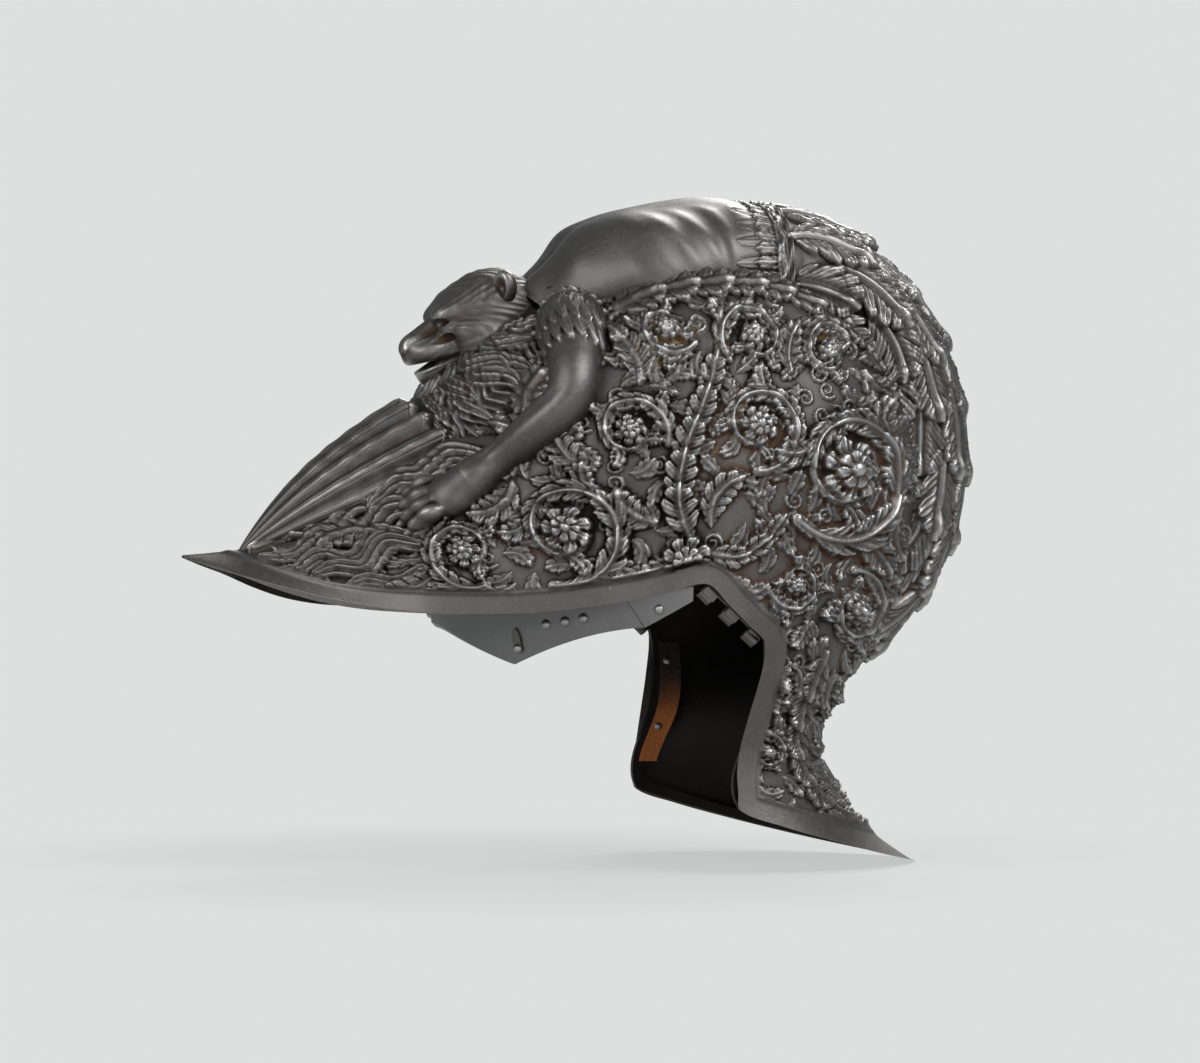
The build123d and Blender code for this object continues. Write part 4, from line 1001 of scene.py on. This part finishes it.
# balls and cuts: middle (forward, left, up) and half sizes
beast = {
    "middle": (-58.6, 0.0, 114.4), "forward": (-0.955, 0.0, -0.297), "scale": 1.12,
    "balls": [
        (-3, 0, 3, 17, 15.5, 15), (7, 0, 8.5, 8, 10.5, 6.5), (15, 0, -4.2, 12, 9.8, 7.2), (12, 0, 2.4, 13, 4.4, 5.2),
        (25.4, 0, 0.2, 3.2, 5.4, 3.4), (18.4, 0, -10.2, 7.0, 6.2, 4.4), (5, 0, -11, 12, 9, 6.4),
        (19.5, 0, -3.5, 6.5, 5.2, 5.0),
        *pair(20.4, 4.7, -1.9, 6.3, 4.9, 3.6), *pair(3.5, 11.2, -4, 8.5, 6.4, 8.6),
        *pair(11.4, 6.8, 7.8, 5.4, 5.0, 3.4), *pair(12.2, 7.3, 3.0, 3.0, 3.0, 2.6),
        *pair(8.2, 11.4, 1.4, 3.6, 3.4, 2.4),
    ],
    "cuts": [(25, 0, -6.2, 12.5, 11.5, 1.1), *pair(29.6, 2.3, -1.6, 2.0, 1.15, 1.0)],
    "creases": [(14.6, 8.8, 5.6, 5.0, 1.6, 1.0), (13.8, 9.4, 0.4, 4.6, 1.4, 0.9), (20.5, 4.6, 2.0, 7.0, 0.9, 2.6)],
    "melt": 1.05, "eye": (13.6, 8.9, 3.2), "furHeight": 0.28, "furFrom": 22, "whiskerHeight": 0.22,
    "ear": {"balls": [(0, 0, 1, 3.8, 5.2, 6.6)], "cuts": [(4.2, 0, 1.8, 3.0, 3.4, 4.8)], "melt": 0.6,
            "behind": 8.0, "aside": 14.5, "up": 11.0, "leanOut": 0.55, "leanBack": 0.25, "turnOut": 0.5},
}


def buildHead():
    b = beast
    rows, columns = sizeOf("head")
    creases = [ball for c in b["creases"] for ball in pair(*c)]
    ray, far = starLump(b["balls"], b["cuts"] + creases, rows, columns, 46.0, b["melt"])
    around = fullTurn(columns)
    # fur: short combed strokes that start behind the nose and grow longer towards the mane
    local = ray * far[..., None]
    x, y, z = (local[..., k] for k in range(3))
    stroke = np.sin(17 * around + 0.35 * x) * np.sin(0.9 * x + 5 * np.cos(6 * around))
    fur = b["furHeight"] * stroke * ramp(b["furFrom"] - x, 0, b["furFrom"])
    whisker = b["whiskerHeight"] * np.cos(2.6 * z + 0.9 * x) * np.exp(
        -((x - 19) / 5) ** 2 - ((np.abs(y) - 7.5) / 2.5) ** 2 - ((z + 6) / 4) ** 2)
    eye = np.minimum(*(np.linalg.norm(local * (1, side, 1) - b["eye"], axis=-1) for side in (1, -1)))
    height = fur + whisker - 0.5 * (1 - ramp(eye, 0.5, 1.2))
    forward = np.array(b["forward"])
    up = np.array([forward[2], 0.0, -forward[0]])
    points = placedStar(ray, far * b["scale"], b["middle"], (forward, (0, 1, 0), up), height)
    # tone by convexity: bumps lighter and dips darker, painted highlight and painted shade along with wear
    tone = 0.52 + 0.24 * (far + height - blurred(far + height, 9, (False, True)))
    return putMesh("beast_head", [closedStar(points, tone), *(earOf(side, forward, up) for side in (1, -1))])


def earOf(side, forward, up):
    # a round cupped ear that leans out and back
    e = beast["ear"]
    ray, far = starLump(e["balls"], e["cuts"], *sizeOf("ear"), 14.0, e["melt"])
    out = side * np.array([0, 1, 0])
    lean = unit(up + e["leanOut"] * out - e["leanBack"] * forward)
    ahead = unit(forward + e["turnOut"] * out)
    ahead = unit(ahead - lean * (ahead @ lean))
    root = np.array(beast["middle"]) - e["behind"] * forward + e["aside"] * out + e["up"] * up
    points = placedStar(ray, far, root, (ahead, np.cross(lean, ahead), lean))
    # tone by convexity: painted highlight on the ear's bulges and painted shade in its cup, along with wear
    return closedStar(points, 0.5 + 0.3 * (far - blurred(far, 6, (False, True))))


mane = {
    "middle": (-53.0, 0.0, 87.0), "sizes": (24.3, 37.0, 36.5), "coverage": 1.95, "chartRadius": 33.0, "seed": 8,
    # tiers of locks: distance from the pole at their roots and tips, number, width, height
    "tiers": [(34, 64, 24, 11.5, 3.0), (23, 52, 19, 10.5, 3.2), (14, 38, 13, 9.0, 2.8)],
    # how much the locks vary: share of their spacing, share of the tip's distance, then the waves of each lock in mm,
    # turns and turns of start, and shares of width and height
    "shift": (-0.2, 0.2), "tip": (0.9, 1.05), "swing": (3.2, 4.8), "waves": (0.55, 0.85), "phase": (0, 0.25),
    "width": (0.85, 1.15), "height": (0.85, 1.1),
}


def buildMane():
    # an oval cap of locks; its pole points forward and up, towards the head's brow
    m = mane
    rows, columns = sizeOf("mane")
    pole, behind = np.array([-0.7071, 0, 0.7071]), np.array([0.7071, 0, 0.7071])
    theta = np.linspace(0.02, m["coverage"], rows)[:, None]
    phi = fullTurn(columns)
    deep, long, wide = m["sizes"]
    ray = (deep * np.cos(theta))[..., None] * pole + (long * np.sin(theta) * np.cos(phi))[..., None] * behind
    ray[..., 1] -= wide * np.sin(theta) * np.sin(phi)
    r = m["chartRadius"] * theta
    plate = plateOf(r * np.cos(phi), r * np.sin(phi), keep=0.35)
    rng = np.random.default_rng(m["seed"])
    drawn = lambda name: rng.uniform(*m[name])
    t = np.linspace(0, 1, 26)
    for first, last, number, width, height in m["tiers"]:
        for k in range(number):
            angle = 2 * np.pi * (k + drawn("shift")) / number
            radius = first + (last * drawn("tip") - first) * t
            swing = drawn("swing") * np.sin(2 * np.pi * (drawn("waves") * t + drawn("phase")))
            turn = angle + (swing * ramp(t, 0, 0.25)) / np.maximum(radius, 8)
            lock(plate, np.column_stack([radius * np.cos(turn), radius * np.sin(turn)]),
                 width * drawn("width"), height * drawn("height"))
    return embossed("mane", np.array(m["middle"]) + ray, ray, plate, 6, wrap=True)


shell = {
    "hinge": (-150.0, 0.0, 31.5), "top": (-92.0, 0.0, 84.2), "halfWidth": 30.0, "halfDepth": 28.0, "ribs": 19,
    "ribRadius": 2.5, "bulge": 6.0, "rings": 7, "ringHeight": 0.14, "halfTurn": 104, "edgeDepth": 9.0,
    # shares of the reach: how far the ribs' ends stand out, how far the lip swells, how far it tucks in below
    "lobeReach": 0.045, "lipReach": 0.03, "tuck": 0.05,
}


def buildShell():
    # a scallop: round ribs that fan from its hinge near the tip, growth rings, and a thick lobed edge turned down
    s = shell
    rows, columns = sizeOf("shell")
    curlRows = rows // 6
    hinge, top = np.array(s["hinge"]), np.array(s["top"])
    along = unit(top - hinge)
    outward = np.array([-along[2], 0.0, along[0]])
    tau = np.linspace(-1.0, 1.0, columns)[None, :] * np.radians(s["halfTurn"])
    u = np.concatenate([np.linspace(0.02, 1.0, rows - curlRows), np.ones(curlRows)])[:, None]
    curl = np.concatenate([np.zeros(rows - curlRows), np.linspace(0, 1, curlRows)])[:, None]
    rib = np.cos(tau * (s["ribs"] - 1))
    lobe = 0.5 + 0.5 * rib
    reach = u * (1 + s["lobeReach"] * lobe * ramp(u, 0.7, 1.0))
    reach = reach + s["lipReach"] * np.sin(np.pi * curl) - s["tuck"] * ramp(curl, 0.5, 1)
    edge = top + np.stack([0 * tau, -s["halfWidth"] * np.sin(tau), 0 * tau], -1)
    edge = edge - outward * (s["halfDepth"] * (1 - np.cos(tau)))[..., None]
    centre = hinge + (edge - hinge) * reach[..., None]
    away = unit(np.stack([0 * tau, -np.sin(tau) * s["halfDepth"], 0 * tau], -1)
                + outward * (np.cos(tau) * s["halfWidth"])[..., None])
    high = s["bulge"] * np.abs(np.sin(np.pi * u)) ** 0.8
    ribForm = s["ribRadius"] * u**1.05 * (lobe**0.8 - 0.25)
    ribForm -= 0.5 * u * bell(lobe - 0.72, 0.07)
    rings = s["ringHeight"] * np.cos(2 * np.pi * s["rings"] * u**1.4 + 0.9 * rib) * ramp(u, 0.25, 0.6)
    form = high + ribForm + rings
    points = centre + away * (form - s["edgeDepth"] * ramp(curl, 0, 1) * (1 + 0.3 * lobe))[..., None]
    # tone: the ribs lighter, as painted highlight along with wear, and painted shade on the lip where it turns under
    tone = 0.34 + 0.34 * lobe + 0.25 * rings - 0.5 * ramp(curl, 0.3, 1.0)
    turned = facing(points, away)[1]
    return putMesh("scallop_shell", [(points, gridQuads(rows, columns, flip=turned), tone)])


foreleg = {
    "start": (-28.0, 130.0), "reach": 53.0, "spread": 62.0, "drop": 77.0, "radius": 13.4, "settle": (0.45, 0.8),
    # the leg's middle line as shares of reach, spread and drop, with the share of its radius
    "rows": [(0.03, 0.06, 0.12, 0.04), (0.035, 0.24, 0.13, 0.62), (0.12, 0.62, 0.22, 0.84), (0.20, 0.91, 0.42, 0.72),
             (0.26, 0.97, 0.56, 0.68), (0.46, 0.91, 0.70, 0.62), (0.68, 0.76, 0.83, 0.50), (0.86, 0.60, 0.93, 0.60),
             (1.0, 0.46, 1.0, 0.52)],
    # feathers of the elbow: count to each side, pitch, shift, distance above the elbow, width, height
    "feathers": [(4, 4.4, 0.0, (13, 5, -4), 1.6, 5.0, 1.5), (5, 3.9, 1.5, (19, 12, 4), 1.3, 4.6, 1.4)],
    # muscles round the leg: height, place and width along it, swellings round it, turn of the first
    "muscles": ((0.10, 0.2, 0.12, 1, -0.6), (0.13, 0.56, 0.12, 1, 0.7), (0.09, 0.70, 0.15, 2, 0.0)),
    "elbow": 0.40, "cord": 19.5, "cordSize": (3.0, 1.5), "cordReach": 60.0, "cordTwist": 80.0,
    # the wrist: distances back from the leg's end, with the share of its radius there
    "wrist": ((3.0, 0.99), (7.0, 0.98), (11.0, 0.95), (15.0, 0.90)),
    "pawUp": (-0.42, 0.62, 0.66), "pawForward": (-0.80, -0.42, -0.42), "pawMelt": 0.55,
    # the paw's balls, forward, left and up: its palm, and each toe's root, knuckle and claw for a toe on its middle
    "palm": (-2, 0, 0, 9.5, 8.6, 6.8), "toes": ((-7.6, 0.0), (-2.7, 2.0), (2.7, 2.0), (7.6, 0.0)),
    "toe": ((6.5, 1.0, 1.6, 5.2, 2.9, 3.3), (11.5, 1.06, -0.8, 4.2, 2.6, 2.9), (15.2, 1.1, -3.6, 3.0, 1.0, 1.6)),
}


def buildLeg(side, name):
    # a muscled foreleg from the shoulder to the paw, with a feathered elbow; side is -1 on the near, left side
    f = foreleg
    rows, columns = sizeOf("leg")
    table = np.array(f["rows"])
    places = np.column_stack([f["start"][0] - f["reach"] * table[:, 0], side * f["spread"] * table[:, 1],
                              f["start"][1] - f["drop"] * table[:, 2], f["radius"] * table[:, 3]])
    path = smoothPath(places, rows)
    spine, radius = path[:, :3], path[:, 3]
    ground = -placeOn(spine[:, 0], spine[:, 2])[0][:, 1]
    ground = np.convolve(np.pad(ground, 15, "edge"), np.full(31, 1 / 31), "valid")
    settle = ramp(np.linspace(0, 1, rows), *f["settle"])
    spine[:, 1] = side * ((1 - settle) * np.abs(spine[:, 1]) + settle * (ground + 0.35 * radius))
    ahead = unit(np.gradient(spine, axis=0))
    away = np.array([-0.35, side * 0.75, 0.55])
    away = unit(away - ahead * (ahead @ away)[:, None])
    across = np.cross(ahead, away)
    length = chordLength(spine)
    angle = np.linspace(-np.pi, np.pi, columns, endpoint=False)[None, :]
    s = length[:, None] / length[-1]
    form = 1.0
    for high, place, width, count, turn in f["muscles"]:
        form = form + high * bell(s - place, width) * np.cos(count * angle + turn)
    form -= 0.06 * bell(angle - 0.15, 0.25) * ramp(s, 0.5, 0.62) * (1 - ramp(s, 0.85, 0.95))
    plate = plateOf(np.broadcast_to(length[:, None], (rows, columns)), angle * radius[:, None], keep=0.6)
    elbow = f["elbow"] * length[-1]
    for number, pitch, shift, (top, mid, low), bow, width, high in f["feathers"]:
        for k in range(-number, number + 1):
            at = k * pitch + shift
            path = [(elbow - top, at * 0.9), (elbow - mid, at + bow), (elbow - low, at * 1.05 - 1)]
            lock(plate, smoothPath(path, 16), width, high)
    place, reach = elbow - f["cord"], f["cordReach"]
    stem(plate, np.array([(place, -reach), (place, 0), (place, reach)]), *f["cordSize"], thin=1.0,
         twist=f["cordTwist"])
    height = plate["h"].reshape(rows, columns)
    form *= 1 - 0.3 * ramp(s, 0.93, 1.0)
    far = radius[:, None] * form + height
    points = spine[:, None] + away[:, None] * (far * np.cos(angle))[..., None]
    points = points + across[:, None] * (far * np.sin(angle))[..., None]
    tone = toneOf(far - radius[:, None], 6, 2.2, (False, True)) + 0.06
    turned = facing(points, points - spine[:, None], (False, True))[1]
    leg = (points, gridQuads(rows, columns, wrapColumns=True, flip=turned), tone)
    return putMesh(name, [leg, pawOf(side, spine, radius, length[-1] - length)])


def pawOf(side, spine, radius, togo):
    # a paw that grips the shell: palm, four toes with a knuckle each, claws dug in, and a wrist that melts into the leg
    up, forward = (unit(np.array(foreleg[way]) * (1, side, 1)) for way in ("pawUp", "pawForward"))
    forward = unit(forward - up * (forward @ up))
    axes = np.array((forward, np.cross(up, forward), up))
    origin = spine[-1] + 1.5 * forward + 0.5 * up
    balls = [foreleg["palm"]]
    for back, share in foreleg["wrist"]:
        at = np.argmin(np.abs(togo - back))
        balls.append((*(axes @ (spine[at] - origin)), *([radius[at] * share] * 3)))
    for aside, longer in foreleg["toes"]:
        balls += [(place + longer, aside * spread, *rest) for place, spread, *rest in foreleg["toe"]]
    ray, far = starLump(balls, [], *sizeOf("paw"), 26.0, foreleg["pawMelt"])
    # tone by convexity: painted highlight on knuckles and toes, painted shade between them, along with wear
    tone = 0.54 + 0.26 * (far - blurred(far, 7, (False, True)))
    return closedStar(placedStar(ray, far, origin, axes), tone)


# the strap's leather and the solids' finishes
strap = {
    "upperTint": (0.012, 0.008, 0.006, 1), "worn": (0.42, 0.13, 0.028, 1), "roughness": 0.82, "crackScale": 420.0,
    "cloudScale": 120.0, "darkeningSpan": (-0.012, -0.032),
}


def leather():
    # old red-brown strap: cracked, and darker towards its upper end
    material = bpy.data.materials.new("strapLeather")
    tree = emptied(material)
    place = node(tree, "ShaderNodeTexCoord")
    cloud = node(tree, "ShaderNodeTexNoise", Vector=(place, "Object"), Scale=strap["cloudScale"], Detail=6.0,
                 Roughness=0.65)
    crack = node(tree, "ShaderNodeTexVoronoi", Vector=(place, "Object"), Scale=strap["crackScale"],
                 set_feature="DISTANCE_TO_EDGE")
    split = node(tree, "ShaderNodeSeparateXYZ", Vector=(place, "Object"))
    level = node(tree, "ShaderNodeMapRange", Value=(split, "Z"), i1=strap["darkeningSpan"][0], i2=strap["darkeningSpan"][1],
                 i3=0.0, i4=1.0)
    mixed = node(tree, "ShaderNodeMath", set_operation="MULTIPLY_ADD", i0=(cloud, "Fac"), i1=1.1, i2=-0.45)
    patchyLevel = node(tree, "ShaderNodeMath", set_operation="ADD", set_use_clamp=True, i0=(level, 0), i1=(mixed, 0))
    share = node(tree, "ShaderNodeMath", set_operation="MULTIPLY", set_use_clamp=True, i0=(patchyLevel, 0), i1=(level, 0))
    tint = node(tree, "ShaderNodeMix", set_data_type="RGBA", i0=(share, 0), i6=strap["upperTint"], i7=strap["worn"])
    bump = node(tree, "ShaderNodeBump", Strength=0.7, Distance=0.0006, Height=(crack, "Distance"))
    shader = node(tree, "ShaderNodeBsdfPrincipled", Roughness=strap["roughness"])
    tree.links.new(tint.outputs[2], shader.inputs["Base Color"])
    tree.links.new(bump.outputs[0], shader.inputs["Normal"])
    sendOut(tree, shader)
    return material


def dressSolids():
    # the plates, hinges and rivets keep their solids and take their finish here
    finishOf = {
        "plainSteel": ("brow_plate", "side_plate_left", "side_plate_right"),
        "hingeSteel": ("hinge_leaf_left", "hinge_leaf_right", "temple_leaf"),
        "rivetSteel": ("temple_stud", "lining_rivets", "side_plate_rivets", "plate_fixing_rivets", "hinge_rivets",
                       "strap_rivets"),
        "leather": ("lining_strap",),
    }
    for finish, names in finishOf.items():
        material = leather() if finish == "leather" else steels[finish]
        for name in names:
            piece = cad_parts[name]
            piece.data.materials.clear()
            piece.data.materials.append(material)


pieces = buildSides()
pieces.append(buildInside())
print("inside copied")
pieces += [buildBack(), buildTail()]
print("crest built")
pieces += [buildMane(), buildShell()]
print("mane and shell built")
pieces += [buildHead(), buildLeg(-1, "foreleg_left"), buildLeg(1, "foreleg_right")]
print("head and forelegs built")
for piece in pieces:
    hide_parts("bowl")
dressSolids()
print("solids dressed")


# camera
camera = {"azimuth": -14.0, "elevation": 0.6, "distance": 2100.0, "width": 439.2,
          "middle": (-14.2, 3.5, 39.7), "sensor": 36.0}


def placeCamera():
    c = camera
    turn, lift = math.radians(c["azimuth"]), math.radians(c["elevation"])
    ahead = np.array([-math.sin(turn) * math.cos(lift), math.cos(turn) * math.cos(lift), -math.sin(lift)])
    made = bpy.data.cameras.new("camera")
    made.sensor_width = c["sensor"]
    made.lens = c["sensor"] * c["distance"] / c["width"]
    made.clip_end = 50.0
    body = linked("camera", made)
    body.location = (np.array(c["middle"]) - ahead * c["distance"]) * mm
    body.rotation_euler = (math.pi / 2 - lift, 0.0, turn)
    bpy.context.scene.camera = body


placeCamera()


# studio
studio = {
    "paper": (0.735, 0.745, 0.74), "floorTint": (0.52, 0.53, 0.53), "worldLevel": 0.32,
    "floorHalf": 6.0, "shadowSpan": (0.14, 0.34), "shadowShare": 0.28, "aim": (-0.02, 0.0, 0.04),
    # name, place, size, power
    "lamps": [
        ("key", (0.9, -1.3, 1.5), 1.3, 36.0), ("front", (-1.6, -0.9, 0.9), 1.1, 17.0),
        ("rim", (0.8, 1.3, 1.3), 0.8, 26.0), ("low", (-0.2, -1.7, -0.1), 0.8, 7.0),
    ],
}


def paperMaterial():
    # near the helmet the paper takes its shadow; further off, and towards the wall, it has its own plain colour
    material = bpy.data.materials.new("paper")
    tree = emptied(material)
    plain = node(tree, "ShaderNodeEmission", Color=(*studio["paper"], 1), Strength=1.0)
    lit = node(tree, "ShaderNodeBsdfDiffuse", Color=(*studio["floorTint"], 1))
    path = tree.nodes.new("ShaderNodeLightPath")
    place = node(tree, "ShaderNodeTexCoord")
    far = node(tree, "ShaderNodeVectorMath", set_operation="LENGTH", i0=(place, "Object"))
    near = node(tree, "ShaderNodeMapRange", Value=(far, "Value"), i1=studio["shadowSpan"][0],
                i2=studio["shadowSpan"][1], i3=studio["shadowShare"], i4=0.0)
    near.interpolation_type = "SMOOTHSTEP"
    keep = node(tree, "ShaderNodeMath", set_operation="SUBTRACT", i0=1.0, i1=(near, 0))
    share = node(tree, "ShaderNodeMath", set_operation="MULTIPLY", i0=(path, "Is Camera Ray"), i1=(keep, 0))
    sendOut(tree, node(tree, "ShaderNodeMixShader", i0=(share, 0), i1=(lit, 0), i2=(plain, 0)))
    return material


def buildStudio():
    mesh = bpy.data.meshes.new("floor")
    low = cadBounds[0][2]
    half = studio["floorHalf"]
    mesh.from_pydata([(-half, -half, low), (half, -half, low), (half, half, low), (-half, half, low)], [],
                     [(0, 1, 2, 3)])
    floor = linked("floor", mesh)
    mesh.materials.append(paperMaterial())
    world = bpy.data.worlds.new("studio")
    bpy.context.scene.world = world
    tree = emptied(world)
    path = tree.nodes.new("ShaderNodeLightPath")
    seen = node(tree, "ShaderNodeBackground", Color=(*studio["paper"], 1), Strength=1.0)
    light = node(tree, "ShaderNodeBackground", Color=(0.92, 0.96, 1.0, 1), Strength=studio["worldLevel"])
    mix = node(tree, "ShaderNodeMixShader", i0=(path, "Is Camera Ray"), i1=(light, 0), i2=(seen, 0))
    sendOut(tree, mix, "ShaderNodeOutputWorld")
    for name, place, size, power in studio["lamps"]:
        lamp = bpy.data.lights.new(name, "AREA")
        lamp.size, lamp.energy = size, power
        body = linked(name, lamp)
        body.location = place
        aim = np.array(place) - studio["aim"]
        flat = math.hypot(aim[0], aim[1])
        body.rotation_euler = (math.atan2(flat, aim[2]), 0.0, math.atan2(aim[0], -aim[1]))


buildStudio()
bpy.context.scene.view_settings.view_transform = "Standard"
print("studio set")


def plain(bounds):
    return [[round(float(v), 6) for v in corner] for corner in bounds]
